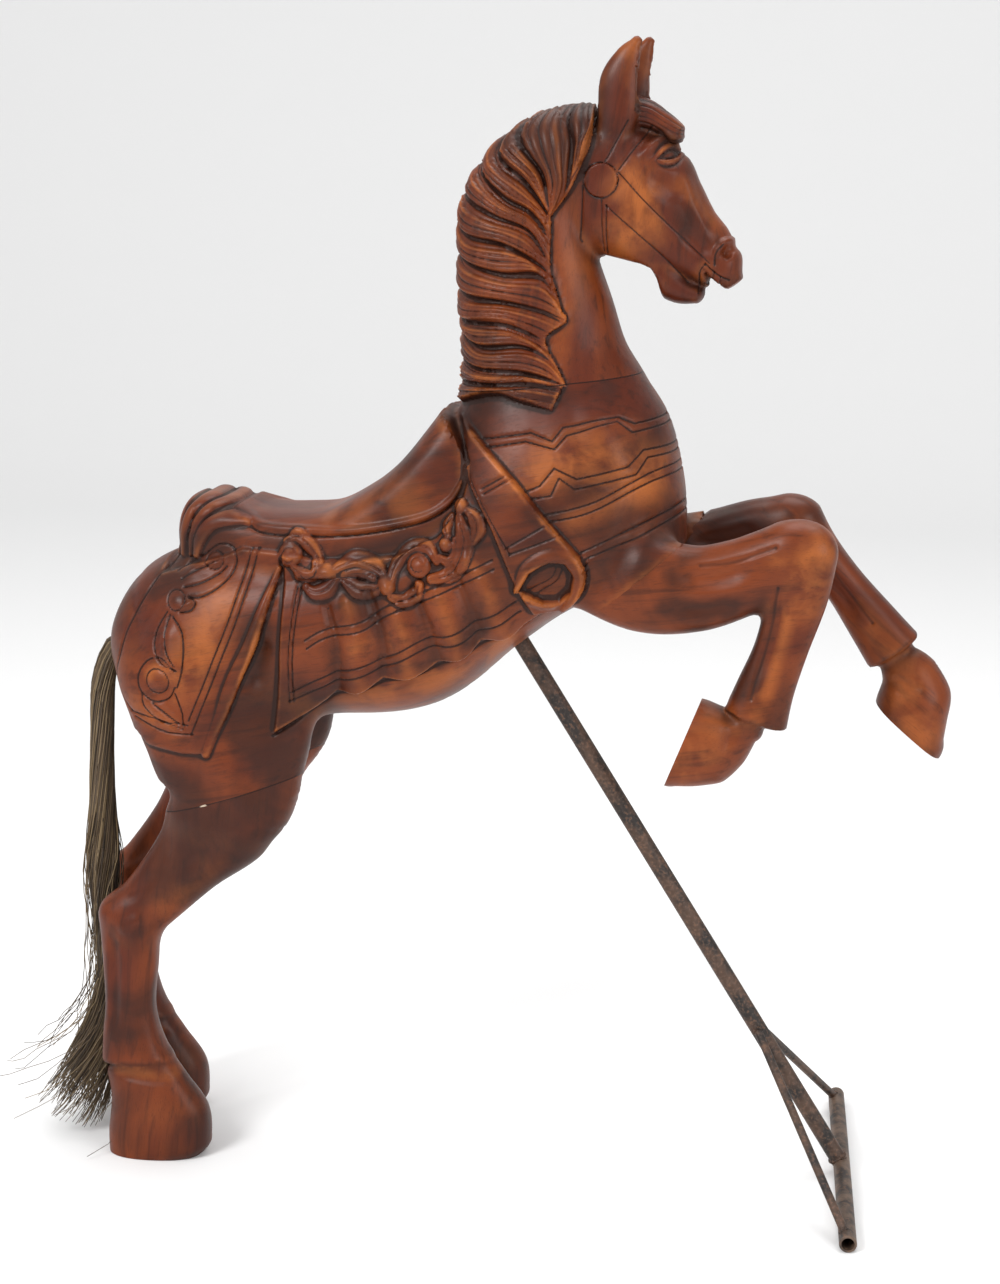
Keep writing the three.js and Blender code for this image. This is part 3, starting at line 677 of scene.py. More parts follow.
def even_out(points, triangles):
    """Slides points along the surface to the middle of their neighbours."""
    edges, _ = edges_of(triangles)
    move = mean_of_neighbours(points, edges) - points
    normal = normals(points, triangles)
    return points + 0.6 * (move - (move * normal).sum(1)[:, None] * normal)


def unfold(points, triangles, rounds=12):
    """Smooths the few places where the surface has folded over itself."""
    a, b, c = (points[triangles[:, k]] for k in range(3))
    face = np.cross(b - a, c - a)
    face /= np.maximum(np.linalg.norm(face, axis=1), 1e-12)[:, None]
    turned = (face[:, None, :] * normals(points, triangles)[triangles]).sum(2) < 0.1
    near = (np.bincount(triangles[turned], minlength=len(points)) > 0).astype(float)[:, None]
    edges, _ = edges_of(triangles)
    for _ in range(2):
        near = np.maximum(near, mean_of_neighbours(near, edges) > 0)
    for _ in range(rounds):
        points = points + near * (mean_of_neighbours(points, edges) - points)
    return points


def refine(points, triangles, longest, seen=None):
    """Halves every edge longer than `longest` allows; `seen` are the points to measure the edges by."""
    seen = points if seen is None else seen
    edges, sides = edges_of(triangles)
    length = np.linalg.norm(seen[edges[:, 0]] - seen[edges[:, 1]], axis=1)
    middle = (points[edges[:, 0]] + points[edges[:, 1]]) / 2
    allowed = longest(points)
    cut = length > np.minimum(longest(middle), np.minimum(allowed[edges[:, 0]], allowed[edges[:, 1]]))
    fresh = np.where(cut, len(points) + np.cumsum(cut) - 1, -1)
    points = np.concatenate([points, middle[cut]])
    marks = cut[sides]
    count = marks.sum(1)
    turn = np.select([count == 1, count == 2], [marks.argmax(1), (marks.argmin(1) + 1) % 3], 0)
    order = (turn[:, None] + np.arange(3)) % 3
    corner = np.take_along_axis(triangles, order, 1)
    mid = np.take_along_axis(fresh[sides], order, 1)
    (a, b, c), (ab, bc, ca) = corner.T, mid.T
    none, one, two, three = (count == k for k in range(4))
    split = [
        corner[none],
        np.stack([a, ab, c], 1)[one], np.stack([ab, b, c], 1)[one],
        np.stack([ab, b, bc], 1)[two], np.stack([a, ab, bc], 1)[two], np.stack([a, bc, c], 1)[two],
        np.stack([a, ab, ca], 1)[three], np.stack([ab, b, bc], 1)[three],
        np.stack([ca, bc, c], 1)[three], np.stack([ab, bc, ca], 1)[three],
    ]
    return points, np.concatenate(split)


halved = refine(*SQUARE, lambda p: np.full(len(p), 0.9))
print("a square of 1 mm, refined to 0.9 mm:", len(halved[1]), "triangles")

# %% Carve the drawing into a block
FAR_SIDE = 1.7  # how much coarser the mesh of the plainer far side may be
FINE, MEDIUM, PLAIN = 2.8, 7.6, 12.0  # longest edges at a cut, in a carved zone and on plain wood
WIDE, TIGHT, DEEP = 26, 8, 14  # how far out creases are felt for, and how far in crowns are
SIDE_BLEND = 7.0  # how near the middle plane the two drawings pass into each other


def two_sides(near, far, which, points):
    """The value of the near drawing on the near side, and of the far one on the far side."""
    share = ramp(points[:, 1], -SIDE_BLEND, SIDE_BLEND)
    return near.sample(which(near), points) * (1 - share) + far.sample(which(far), points) * share


def sizes(relief, fine):
    """The longest edge that the drawing allows at each place."""
    dz, dx = np.gradient(relief.height, relief.pitch)
    bend, slope = relief.copy(), relief.copy()
    bend.height = np.abs(relief.height - relief.blurred(1))
    slope.height = ((np.hypot(dx, dz) > 0.05) | relief.close).astype(float)
    return np.where(bend.height > 0.08, fine, np.where(slope.blurred(6) > 0.1, max(fine, MEDIUM), PLAIN))


def carve(name, members, away, near, far, voxel=7.5, fine=FINE, passes=4):
    """A block with its relief: points in mm, triangles, and marks of how hollow or proud each point is."""
    for relief in {id(r): r for r in (near, far)}.values():
        if not hasattr(relief, "size"):
            relief.size = sizes(relief, fine if relief is near else FAR_SIDE * fine)
            cuts = relief.copy()
            cuts.height = cuts.height - cuts.soft
            relief.hollow = cuts.blurred(4) - cuts.height

    def longest(points):
        return two_sides(near, far, lambda r: r.size, points)

    def raised(points, triangles):
        height = two_sides(near, far, lambda r: r.height, points)
        outward = normals(points, triangles)
        edges, _ = edges_of(triangles)
        for _ in range(2):
            outward = outward + mean_of_neighbours(outward, edges)
            outward /= np.linalg.norm(outward, axis=1)[:, None]
        return points + outward * height[:, None]

    points, triangles = fused(*shell(members, away, voxel), voxel)
    points = drop(points, away, 2)
    for _ in range(passes):
        points, triangles = refine(points, triangles, longest)
        points = unfold(settle(even_out(points, triangles), triangles, away), triangles)
    points, triangles = refine(points, triangles, lambda p: 1.5 * longest(p), raised(points, triangles))
    points = settle(even_out(points, triangles), triangles, away)
    hollow = two_sides(near, far, lambda r: r.hollow, points)
    shown = unfold(raised(points, triangles), triangles)
    outward = normals(points, triangles)
    # Painted shade: the crease mark grows where a point is closed in between limbs and ledges, and the finish
    # darkens it there as shade. Crown is how far a point rounds over, for wear.
    wide, tight = away(points + WIDE * outward), away(points + TIGHT * outward)
    crease = 0.6 * np.clip(1 - wide / WIDE, 0, 1) + 0.8 * np.clip(1 - tight / TIGHT, 0, 1)
    crown = np.clip(1 + away(points - DEEP * outward) / DEEP, 0, 1)
    marks = {"hollow": hollow, "crease": np.clip(crease, 0, 1), "crown": crown}
    marks["rubbed"] = two_sides(near, far, lambda r: r.rubbed, points)
    marks["upward"] = normals(shown, triangles)[:, 2]
    print(f"{name}: {len(triangles)} triangles, relief {hollow.min():.1f} to {hollow.max():.1f} mm")
    return shown, triangles, marks


# %% Cut a block at its glue faces and put it in the scene
WOOD_PIECES = {}
ANYWHERE = (-2000, -2000, 2000, 2000)


def wooden(name, points, triangles, marks, cuts=()):
    """A finished block: cut by lines in the side view and marked for the finish. A cut is a line, how far
    past it the cut lies, and the box [x0, z0, x1, z1] that it is kept to."""
    mesh = plain_mesh(name, points, triangles)
    for mark, values in marks.items():
        mesh.attributes.new(mark, "FLOAT", "POINT").data.foreach_set("value", values.astype(np.float32))
    body = bmesh.new()
    body.from_mesh(mesh)
    for (start, end), offset, (x0, z0, x1, z1) in cuts:
        along = Vector((end[0] - start[0], 0, end[1] - start[1])).normalized()
        right = Vector((along.z, 0, -along.x))
        place = (Vector((start[0], 0, start[1])) + right * offset) * MM
        part = {v for v in body.verts if x0 < v.co.x / MM < x1 and z0 < v.co.z / MM < z1}
        part |= {e for v in part for e in v.link_edges} | {f for v in part for f in v.link_faces}
        cut = bmesh.ops.bisect_plane(
            body, geom=list(part), plane_co=place, plane_no=right, clear_outer=True, dist=1e-7)
        rim = [e for e in cut["geom_cut"] if isinstance(e, bmesh.types.BMEdge)]
        bmesh.ops.triangle_fill(body, edges=rim, use_beauty=True)
    bmesh.ops.dissolve_degenerate(body, dist=1e-6, edges=body.edges[:])
    bmesh.ops.recalc_face_normals(body, faces=body.faces[:])
    body.to_mesh(mesh)
    body.free()
    mesh.shade_smooth()
    mesh.set_sharp_from_angle(angle=math.radians(50))
    obj = bpy.data.objects.new(name, mesh)
    bpy.context.collection.objects.link(obj)
    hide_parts(name.removeprefix("carved_"))
    WOOD_PIECES[name] = obj
    print(f"{name}: {len(mesh.polygons)} faces")
    return obj


# %% [markdown]
# ## The drawing of the body
# The saddle cloth, its turned front flap and the rump cloth are low raised fields, the pleats are soft
# ridges between sharper valleys, and the harness and borders are V-tool cuts about three millimetres wide.
# The far side has the same cloths with less carving, as on a real carousel, where one side faces the
# public.

# %% Cloths, pleats and hollows, the same on both sides
CLOTH = 6  # how far the cloths stand out of the body
FLAP = 12  # the turned front flap of the saddle cloth
HEM = [
    [-222, 575], [-191, 595], [-160, 617], [-142, 628], [-114, 632], [-84, 647], [-50, 653],
    [-14, 671], [11, 679], [38, 698], [64, 706], [90, 724],
]
SADDLE_CLOTH = [[-209, 830], [-207, 737], [-213, 654], *smooth_line(HEM), [150, 765], [90, 800], [40, 900],
                [-30, 960], [-110, 880]]
RUMP_CLOTH = [[-214, 830], [-214, 779], [-245, 693], [-267, 646], [-291, 585], [-305, 548], [-336, 547],
              [-384, 553], [-400, 566], [-520, 590], [-520, 900], [-360, 900]]
FRONT_FLAP = [[7, 966], [81, 895], [139, 828], [157, 808], [160, 791], [156, 768], [133, 745], [96, 738],
              [80, 772], [53, 840], [18, 904], [-8, 938], [-30, 950], [-30, 972]]
SEAT = [[-372, 760], [-310, 780], [-263, 800], [-212, 798], [-153, 792], [-67, 800], [-16, 822], [10, 850],
        [20, 890], [12, 926], [-8, 960], [-18, 968], [-60, 1000], [-372, 930]]
FOLDS = [  # the valleys between the pleats, from the scrolls to the hem
    [[-150, 735], [-140, 690], [-143, 630]],
    [[-97, 753], [-83, 698], [-84, 642]],
    [[-42, 765], [-25, 712], [-14, 664]],
    [[5, 790], [27, 736], [39, 690]],
]
PLEATS = [
    [[-124, 742], [-112, 690], [-114, 632]],
    [[-70, 756], [-55, 706], [-50, 650]],
    [[-19, 775], [0, 724], [11, 674]],
    [[28, 800], [52, 752], [64, 702]],
]


def body_form():
    """The body's hollows and cloths, which both sides share."""
    board = Relief(-480, 440, 330, 1130)
    board.swell([[-229, 706], [-240, 662], [-250, 622]], [16, 26, 24], -9)
    # painted shade in the hollow of the flank
    board.rub([[-232, 700], [-242, 655], [-246, 605]], 34, -1.1)
    board.swell([[-300, 640], [-296, 560], [-270, 500]], [30, 40, 30], 4)
    board.swell([[-410, 560], [-385, 500], [-352, 470]], [20, 28, 20], -4)
    board.swell([[150, 1000], [190, 940], [232, 880]], [22, 34, 26], 5)
    board.swell([[228, 868], [200, 800], [160, 752]], [20, 26, 22], -5)
    cloth = board.copy()
    cloth.height[:] = 0
    cloth.field(SADDLE_CLOTH, CLOTH, soft=2.2)
    inside = cloth.height.copy() / CLOTH
    for line in FOLDS:
        cloth.swell(line, [10, 18, 20], -4.5, fade=0)
        cloth.swell(line, [8, 9, 10], -1.5, fade=0)
        # painted shade in the valley of each fold
        board.rub(line, 13, -0.5)
    for line in PLEATS:
        cloth.swell(line, [14, 24, 28], 5, fade=0)
        board.rub(line, 16, 0.35)
    cloth.height *= inside
    rump = board.copy()
    rump.height[:] = 0
    rump.field(RUMP_CLOTH, 4.5, soft=2.2)
    flap = board.copy()
    flap.height[:] = 0
    flap.field(FRONT_FLAP, FLAP, soft=2.6)
    flap.height *= ramp(np.hypot(flap.x[None, :] + 14, flap.z[:, None] - 960), 8, 50)
    where, depth = board.inside(SEAT, 30)
    for part in (cloth, rump):
        part.height[where] *= 1 - ramp(depth, -3, 3)
    board.soft += np.where(cloth.height > flap.height, cloth.soft * inside, 0)
    board.height += np.maximum(np.maximum(cloth.height, rump.height), flap.height)
    board.leaf([[-214, 779], [-245, 693], [-267, 646], [-291, 585], [-304, 549]], [3, 7, 9, 9, 6], 7, 3)
    board.groove([[x, z - 3] for x, z in HEM], 5, 2.6)
    return board


near_body = body_form()
print("body drawing:", near_body.height.shape, round(near_body.height.max(), 1), "mm")

# %% Borders and straps, cut with the V-tool on both sides
BORDERS = [
    [[-203, 616], [-198, 690], [-189, 756]],
    [[-198, 616], [-193, 690], [-184, 756]],
    [[-203, 616], [-157, 638], [-82, 665], [-34, 689], [12, 701], [84, 741]],
    [[-200, 628], [-157, 650], [-82, 676], [-36, 700], [8, 713], [80, 753]],
    [[-178, 695], [-153, 709], [-108, 720], [-80, 738], [-41, 755], [-2, 773], [54, 802]],
    [[-176, 685], [-152, 699], [-106, 710], [-78, 728], [-40, 745], [0, 763], [56, 791]],
    [[-250, 801], [-271, 724], [-300, 650], [-326, 589]],
    [[-241, 802], [-262, 722], [-292, 646], [-322, 573]],
    [[-320, 572], [-358, 573], [-400, 587]],
    [[-327, 583], [-358, 586], [-405, 593]],
    [[-358, 784], [-389, 737], [-414, 694], [-424, 659], [-432, 624], [-405, 593]],
    [[17, 916], [43, 868], [76, 811]],
    [[116, 857], [172, 872], [239, 905], [300, 914]],
    [[122, 849], [170, 861], [238, 894], [300, 904]],
    [[158, 812], [219, 841], [300, 874]],
    [[160, 803], [225, 831], [300, 862]],
]
CROOKED = [
    [[30, 941], [96, 952], [122, 943], [134, 959], [197, 970], [216, 962], [300, 975]],
    [[42, 933], [90, 942], [125, 934], [139, 950], [196, 965], [214, 952], [300, 966]],
    [[93, 884], [109, 891], [126, 912], [153, 900], [209, 912], [227, 931], [300, 936]],
    [[101, 876], [123, 880], [132, 901], [151, 888], [219, 903], [232, 922], [300, 927]],
    [[44, 884], [70, 900]], [[46, 879], [74, 896]], [[72, 818], [117, 846]], [[76, 811], [135, 835]],
]
for line in BORDERS:
    near_body.groove(line)
for line in CROOKED:
    near_body.groove(line, curved=False)
far_body = near_body.copy()
print("cuts:", len(BORDERS) + len(CROOKED))

# %% Scrolls, the rolled corner and the engraved flowers of the near side
SEAT_RIM = [
    [-278, 843], [-257, 834], [-236, 827], [-188, 826], [-126, 829], [-64, 840], [-27, 851],
    [-2, 868], [11, 887], [16, 905], [14, 929], [6, 950],
]
SCROLL_BED = [
    [-200, 797], [-180, 778], [-150, 774], [-110, 776], [-74, 768], [-44, 780], [-16, 802],
    [12, 830], [26, 852],
]
SKIRT = [[-230, 812], [-180, 808], [-126, 806], [-70, 808], [-30, 826], [4, 852]]
LEAVES = [
    ([[-192, 782], [-178, 770], [-164, 776], [-166, 790]], [5, 9, 8, 4]),
    ([[-205, 812], [-190, 818], [-172, 806], [-160, 790]], [4, 7, 8, 4]),
    ([[-178, 756], [-166, 750], [-150, 754], [-138, 766]], [4, 7, 8, 5]),
    ([[-138, 784], [-124, 792], [-112, 795], [-92, 787], [-74, 772]], [6, 9, 10, 9, 4]),
    ([[-132, 766], [-118, 760], [-108, 756], [-88, 758], [-78, 764]], [4, 8, 9, 7, 4]),
    ([[-128, 776], [-108, 778], [-90, 770]], [5, 8, 5]),
    ([[-68, 752], [-52, 748], [-40, 756], [-34, 768]], [4, 7, 8, 5]),
    ([[-68, 770], [-62, 792], [-44, 811], [-22, 809], [-12, 796]], [5, 8, 9, 8, 4]),
    ([[-18, 776], [2, 782], [16, 800], [22, 826], [16, 850]], [5, 9, 10, 9, 5]),
    ([[-8, 800], [4, 796], [12, 806], [12, 822]], [4, 7, 7, 4]),
    ([[26, 858], [34, 852], [38, 838], [32, 822]], [4, 8, 8, 4]),
    ([[2, 850], [-2, 838], [2, 826]], [4, 7, 4]),
]
BALLS = [[-199, 797, 16], [-151, 776, 14], [-74, 764, 12], [-34, 790, 15], [0, 815, 9], [15, 862, 11]]
CORNER_LIP = [[82, 768], [97, 795], [122, 810], [145, 806], [157, 788], [152, 764], [134, 748]]
CORNER_MOUTH = [[84, 767], [98, 789], [121, 802], [140, 800], [149, 787], [146, 769], [132, 757], [110, 757]]

for board in (near_body, far_body):
    board.swell(SEAT_RIM, [7], 5, fade=0)
    board.groove([[x, z - 7] for x, z in SEAT_RIM], 4, 2)
    # painted shade under the ledge of the seat
    board.rub(SKIRT, 20, -0.7)
near_body.swell(SCROLL_BED, [12, 20, 22, 22, 20, 20, 18, 12], 4, fade=0)
ground = near_body.height.copy()
for line, radii in LEAVES:
    near_body.leaf(line, [1.2 * radius for radius in radii], 6.5, ground, vein=2.2)
for x, z, radius in BALLS:
    near_body.ball(x, z, radius, 9, ground)
for x, z, radius in (BALLS[0], BALLS[3]):
    near_body.groove(round_line(x, z, 0.55 * radius, 0.5, 5.6, 9), 3, 2)
for board in (near_body, far_body):
    board.leaf(CORNER_LIP, [4, 8, 9, 9, 8, 7, 4], 5, FLAP - 1)
    board.field(CORNER_MOUTH, -11, soft=2)
    board.swell([[84, 762], [112, 756], [138, 762]], [6, 12, 6], 5)
    board.groove([[88, 762], [108, 772], [124, 782], [130, 796]], 2.6, 1.4)
    board.groove([[92, 757], [114, 767], [130, 778], [137, 794]], 2.6, 1.4)

FLOWERS = [[-300, 782, 12], [-345, 733, 12], [-366, 636, 15]]
for x, z, radius in FLOWERS:
    near_body.spot(x, z, 1.2 * radius, 3)
    near_body.groove(round_line(x, z, radius), 3, 1.8)
LEAF_FORMS = [  # the swellings of the engraved leaves, below their cuts
    [[-345, 755], [-316, 772], [-284, 788]],
    [[-345, 712], [-350, 680], [-340, 640]],
    [[-382, 612], [-360, 594], [-336, 580]],
    [[-330, 732], [-326, 726]],
]
PETALS = [
    [[-350, 764], [-336, 777], [-317, 788], [-298, 802], [-280, 802], [-270, 787], [-276, 766], [-292, 750],
     [-313, 739], [-329, 738]],
    [[-342, 756], [-323, 765], [-304, 776], [-291, 784]],
    [[-337, 748], [-315, 754], [-294, 765], [-283, 776]],
    [[-329, 738], [-319, 733], [-324, 723], [-338, 720]],
    [[-356, 719], [-368, 698], [-371, 676], [-361, 658], [-339, 651]],
    [[-352, 716], [-356, 694], [-352, 672], [-342, 656]],
    [[-348, 714], [-335, 699], [-331, 678], [-333, 652], [-340, 630]],
    [[-342, 651], [-360, 664], [-379, 660], [-393, 641], [-389, 620], [-370, 610], [-351, 616], [-343, 630]],
    [[-389, 618], [-386, 602], [-368, 589], [-347, 582], [-333, 577]],
    [[-343, 622], [-338, 609], [-334, 596], [-333, 580]],
    [[-373, 608], [-357, 598], [-339, 585]],
]
for line in LEAF_FORMS:
    near_body.swell(line, [12, 18, 12], 4)
for line in PETALS:
    near_body.groove(line, 3.4, 2.2)
near_body.rub([[-376, 642], [-366, 652], [-350, 646]], 12, 0.8)
print("scrolls:", len(LEAVES), "leaves,", len(BALLS), "bosses,", len(PETALS), "engraved petals")

# %% [markdown]
# ## The mane
# The mane is cut as thirteen overlapping locks that sweep forward from the crest, each with its own
# strands. Separate strips of hair would never join the neck as cut wood does. So the locks are drawn too:
# guide lines run where one lock ends and the next begins, and the height between two guides is worked out
# across them.

# %% Comb the locks
GUIDES = [
    [[164, 1341], [159, 1312], [154, 1277], [136, 1250]],
    [[137, 1336], [131, 1312], [136, 1283], [130, 1238], [106, 1197]],
    [[92, 1318], [73, 1291], [100, 1253], [106, 1223], [106, 1199]],
    [[68, 1306], [51, 1270], [82, 1241], [106, 1206], [110, 1182]],
    [[37, 1285], [29, 1252], [57, 1223], [88, 1206], [110, 1176]],
    [[10, 1247], [10, 1222], [45, 1202], [86, 1185], [110, 1148]],
    [[-3, 1211], [11, 1180], [55, 1169], [95, 1149], [111, 1136]],
    [[-6, 1172], [12, 1147], [55, 1134], [102, 1131], [124, 1094]],
    [[-6, 1133], [12, 1108], [62, 1101], [103, 1092], [130, 1080]],
    [[-3, 1091], [12, 1077], [63, 1074], [107, 1057]],
    [[0, 1072], [31, 1048], [79, 1050], [111, 1036], [132, 1009]],
    [[3, 1033], [31, 1021], [81, 1018], [131, 1006]],
    [[4, 1005], [50, 1003], [90, 1006], [129, 1001]],
    [[3, 981], [50, 993], [83, 986], [119, 978]],
]
LOCK_ROOT = 4  # the hair at the roots, over the neck
LOCK_HEIGHT = [5, 12, 12, 9, 2]  # the crest of a lock over that, from root to tip
STRANDS = 5.5  # strands across a lock


def evenly(line, count):
    """A line through its points with its length shared out evenly."""
    points = smooth_line(line, 2)
    run = np.concatenate([[0], np.cumsum(np.linalg.norm(np.diff(points, axis=0), axis=1))])
    return np.stack([np.interp(np.linspace(0, run[-1], count), run, points[:, c]) for c in (0, 1)], 1)


def comb(board, guides, root, heights, strand=1.5):
    """Draws overlapping locks of hair between guide lines."""
    across, along = 130, int(330 / board.pitch)
    curves = np.stack([evenly(g, along) for g in guides]).reshape(len(guides), -1)
    s = np.linspace(0, len(guides) - 1, (len(guides) - 1) * across)
    places = spline(curves, s).reshape(len(s), along, 2)
    v = np.linspace(0, 1, along)[None, :]
    lock = np.minimum(s.astype(int), len(guides) - 2)
    u = (s - lock)[:, None]
    rng = np.random.default_rng(3)
    shift, twist = rng.uniform(0, 2 * np.pi, (2, len(guides)))[:, lock][:, :, None]
    crest = spline(np.array(heights, float)[:, None], (v[0] * (len(heights) - 1)))[:, 0][None, :]
    round_lock = (1 - (1 - u) ** 2.6) * (1 - u**7)
    flow = 2 * np.pi * (STRANDS * (u + 0.06 * np.sin(5 * v + shift))) + shift
    fine = np.abs(np.cos(flow / 2)) ** 0.8 - 0.5
    broad = np.cos(flow / 2.6 + 1.2 * np.sin(3 * v + twist))
    height = root + crest * round_lock + strand * (1.5 * fine + 0.6 * broad) * np.minimum(1, 0.35 + crest / 8)
    col = np.round((places[..., 0] - board.x0) / board.pitch).astype(int).ravel()
    row = np.round((places[..., 1] - board.z0) / board.pitch).astype(int).ravel()
    ok = (col >= 0) & (row >= 0) & (col < len(board.x)) & (row < len(board.z))
    cell = row[ok] * len(board.x) + col[ok]
    count = np.bincount(cell, minlength=board.height.size).reshape(board.height.shape)
    total = np.bincount(cell, height.ravel()[ok], board.height.size).reshape(board.height.shape)
    hair = np.where(count > 0, total / np.maximum(count, 1), 0)
    board.height = np.where(count > 0, np.maximum(hair, board.height), board.height)


far_guides = [[[x, z], [x + 22, z - 9], [x + 46, z - 26]] for (x, z), *_ in GUIDES]
comb(near_body, GUIDES, LOCK_ROOT, LOCK_HEIGHT)
comb(far_body, far_guides, LOCK_ROOT, [3, 6, 2], strand=0.8)
near_neck, far_neck = Relief(-40, 950, 360, 1425, 0.8), Relief(-40, 950, 360, 1425, 0.8)
comb(near_neck, GUIDES, LOCK_ROOT, LOCK_HEIGHT)
comb(far_neck, far_guides, LOCK_ROOT, [3, 6, 2], strand=0.8)
print("mane:", round(near_neck.height.max(), 1), "mm at its thickest")

# %% [markdown]
# ## The head
# A carved head is read by its bones: the brow over the eye, the crest of the cheek, the round jaw and the
# thin lips. They are soft swellings and hollows in the drawing. The bridle is a pair of cuts for each
# strap, and it meets at a round rosette below the ear.

# %% Face and bridle
STRAPS = [
    [[190, 1254], [237, 1205], [297, 1148]],
    [[175, 1216], [222, 1175], [271, 1125]],
    [[174, 1267], [200, 1314]],
    [[190, 1257], [226, 1307]],
    [[147, 1238], [144, 1182], [146, 1172]],
    [[170, 1221], [171, 1161]],
    [[176, 1216], [175, 1159]],
]


# worn light on the cheek, the nose and the neck; painted shade in the cheek's hollow, round the foot of the
# ear and under the jaw
FACE_WEAR_AND_PAINTED_SHADE = [
    ([[205, 1240], [222, 1200], [200, 1180]], 50, 0.9), ([[250, 1212], [262, 1200]], 26, -0.7),
    ([[222, 1290], [180, 1300]], 34, -0.3), ([[262, 1240], [300, 1190]], 18, 0.4),
    ([[110, 1050], [140, 1150]], 40, 0.35), ([[240, 1125], [300, 1120]], 26, -0.3),
]


def draw_face(board):
    board.swell([[212, 1269], [226, 1282], [240, 1291], [254, 1294], [264, 1286]], [7, 11, 12, 11, 6], 8)
    board.spot(249, 1274, 20, -7)
    board.swell([[262, 1262], [272, 1226], [286, 1196], [298, 1178]], [8, 12, 12, 8], 4)
    board.swell([[222, 1250], [248, 1236], [262, 1216]], [14, 22, 16], -4)
    board.spot(205, 1192, 50, 4, 1.1)
    board.swell([[262, 1190], [284, 1168], [300, 1158]], [12, 16, 12], -4)
    board.swell([[302, 1152], [308, 1168], [317, 1174], [325, 1168]], [5, 7, 7, 4], 5)
    board.groove([[303, 1146], [304, 1160], [311, 1169]], 3.2, 1.8)
    for line in STRAPS:
        board.groove(line, 2.8, 1.5)
    board.ball(169, 1245, 20, 0.01, 3)
    board.groove(round_line(169, 1245, 20), 2.6, 1.6)
    board.spot(317, 1161, 9, -8, 1.3)
    board.spot(249, 1275, 12, 8, 0.9)
    board.leaf([[231, 1269], [239, 1281], [251, 1286], [262, 1279]], [2, 4.5, 4.5, 2], 5, -1)
    board.leaf([[231, 1269], [243, 1266], [256, 1269], [262, 1277]], [2, 3.5, 3.5, 2], 4, -2)
    board.groove([[237, 1272], [244, 1279], [254, 1280], [259, 1275]], 1.8, 1.4)
    board.groove([[237, 1272], [245, 1270], [254, 1271], [259, 1275]], 1.8, 1.4)
    board.groove([[292, 1147], [299, 1141], [309, 1133], [320, 1128]], 3, 2)
    board.groove([[303, 1138], [300, 1128]], 2, 1.5)
    board.groove([[311, 1132], [308, 1122]], 2, 1.5)
    board.groove([[292, 1147], [285, 1136], [284, 1112]], 3, 1.6)
    board.groove([[290, 1124], [297, 1122]], 2, 1.5)
    board.rub_or_shade_all(FACE_WEAR_AND_PAINTED_SHADE)


for board in (near_neck, far_neck):
    board.rub([[60, 1030], [45, 1120], [60, 1210], [110, 1290], [150, 1320]], 80, -0.75)
    board.height *= ramp(np.hypot(board.x[None, :] - 166, board.z[:, None] - 1340), 6, 26)
    draw_face(board)
    for i in range(6):
        low = 6.5 * i
        strand = [[212, 1338 - low], [226, 1334 - low], [244, 1323 - low], [262, 1309 - 0.6 * low]]
        board.groove(strand, 2.6, 1.2)
print("head drawing:", near_neck.height.shape)

# %% [markdown]
# ## The legs
# The muscles of the forearm, the cords along the cannon and the crown of the hoof are soft forms in the
# drawing, because a leg is rounded with a spokeshave. Three wide and shallow cuts mark the facets of the
# forelegs.

# %% Muscles and cords of the legs
near_legs, far_legs = Relief(-540, -10, 640, 880), Relief(-540, -10, 640, 880)


def draw_fore(board, arm, cannon, hoof):
    for line in arm:
        board.swell(line, [16, 22, 18], -6)
        # painted shade in the hollows of the forearm
        board.rub(line, 20, -0.6)
    for line in cannon:
        board.swell(line, [12, 16, 14], -5)
        # painted shade in the grooves of the cannon
        board.rub(line, 14, -0.5)
    board.swell(hoof, [10, 14, 10], -3)


draw_fore(
    near_legs,
    [[[268, 786], [318, 786], [366, 806]], [[262, 752], [306, 748], [352, 760]]],
    [[[398, 776], [386, 716], [370, 652]]],
    [[334, 634], [340, 600], [330, 572]],
)
draw_fore(
    far_legs,
    [[[268, 800], [318, 804], [362, 820]], [[262, 768], [306, 770], [352, 786]]],
    [[[412, 796], [446, 754], [486, 706]]],
    [[516, 632], [540, 628], [566, 622]],
)
# worn light on the gaskin, coronet and hoof; painted shade under the thigh at the stifle, and darker down the
# cannon
HIND_WEAR_AND_PAINTED_SHADE = [
    ([[-300, 400], [-370, 340]], 30, 0.2), ([[-410, 300], [-420, 170]], 40, -0.5),
    ([[-250, 500], [-300, 470]], 60, -0.9), ([[-440, 118], [-370, 112]], 12, 0.7),
    ([[-390, 60], [-340, 70]], 34, 0.1),
]
for board, lean in ((near_legs, 0), (far_legs, HIND_LEAN)):
    board.swell([[-262 - lean, 520], [-300 - lean, 440], [-372 - lean, 372]], [18, 32, 16], -5)
    board.swell([[-352 - lean, 440], [-392 - lean, 372], [-430 - lean, 340]], [12, 18, 9], -4)
    board.swell([[-398 - lean, 326], [-418 - lean, 312], [-434 - lean, 306]], [14, 16, 12], 3)
    board.swell([[-440 - lean, 312], [-441 - lean, 240], [-445 - lean, 160]], [10, 12, 11], -4)
    # painted shade in the groove behind the cannon
    board.rub([[-440 - lean, 312], [-441 - lean, 240], [-445 - lean, 160]], 9, -0.7)
    board.swell([[-400 - lean, 280], [-402 - lean, 220], [-400 - lean, 160]], [12, 16, 12], -3)
    board.swell([[-446 - lean, 112], [-410 - lean, 108], [-366 - lean, 104]], [9, 10, 9], -3)
    board.rub_or_shade_all([([[x - lean, z] for x, z in line], radius, amount) for line, radius, amount in HIND_WEAR_AND_PAINTED_SHADE])
near_legs.groove([[392, 776], [379, 710], [362, 640]], 8, 1.4)
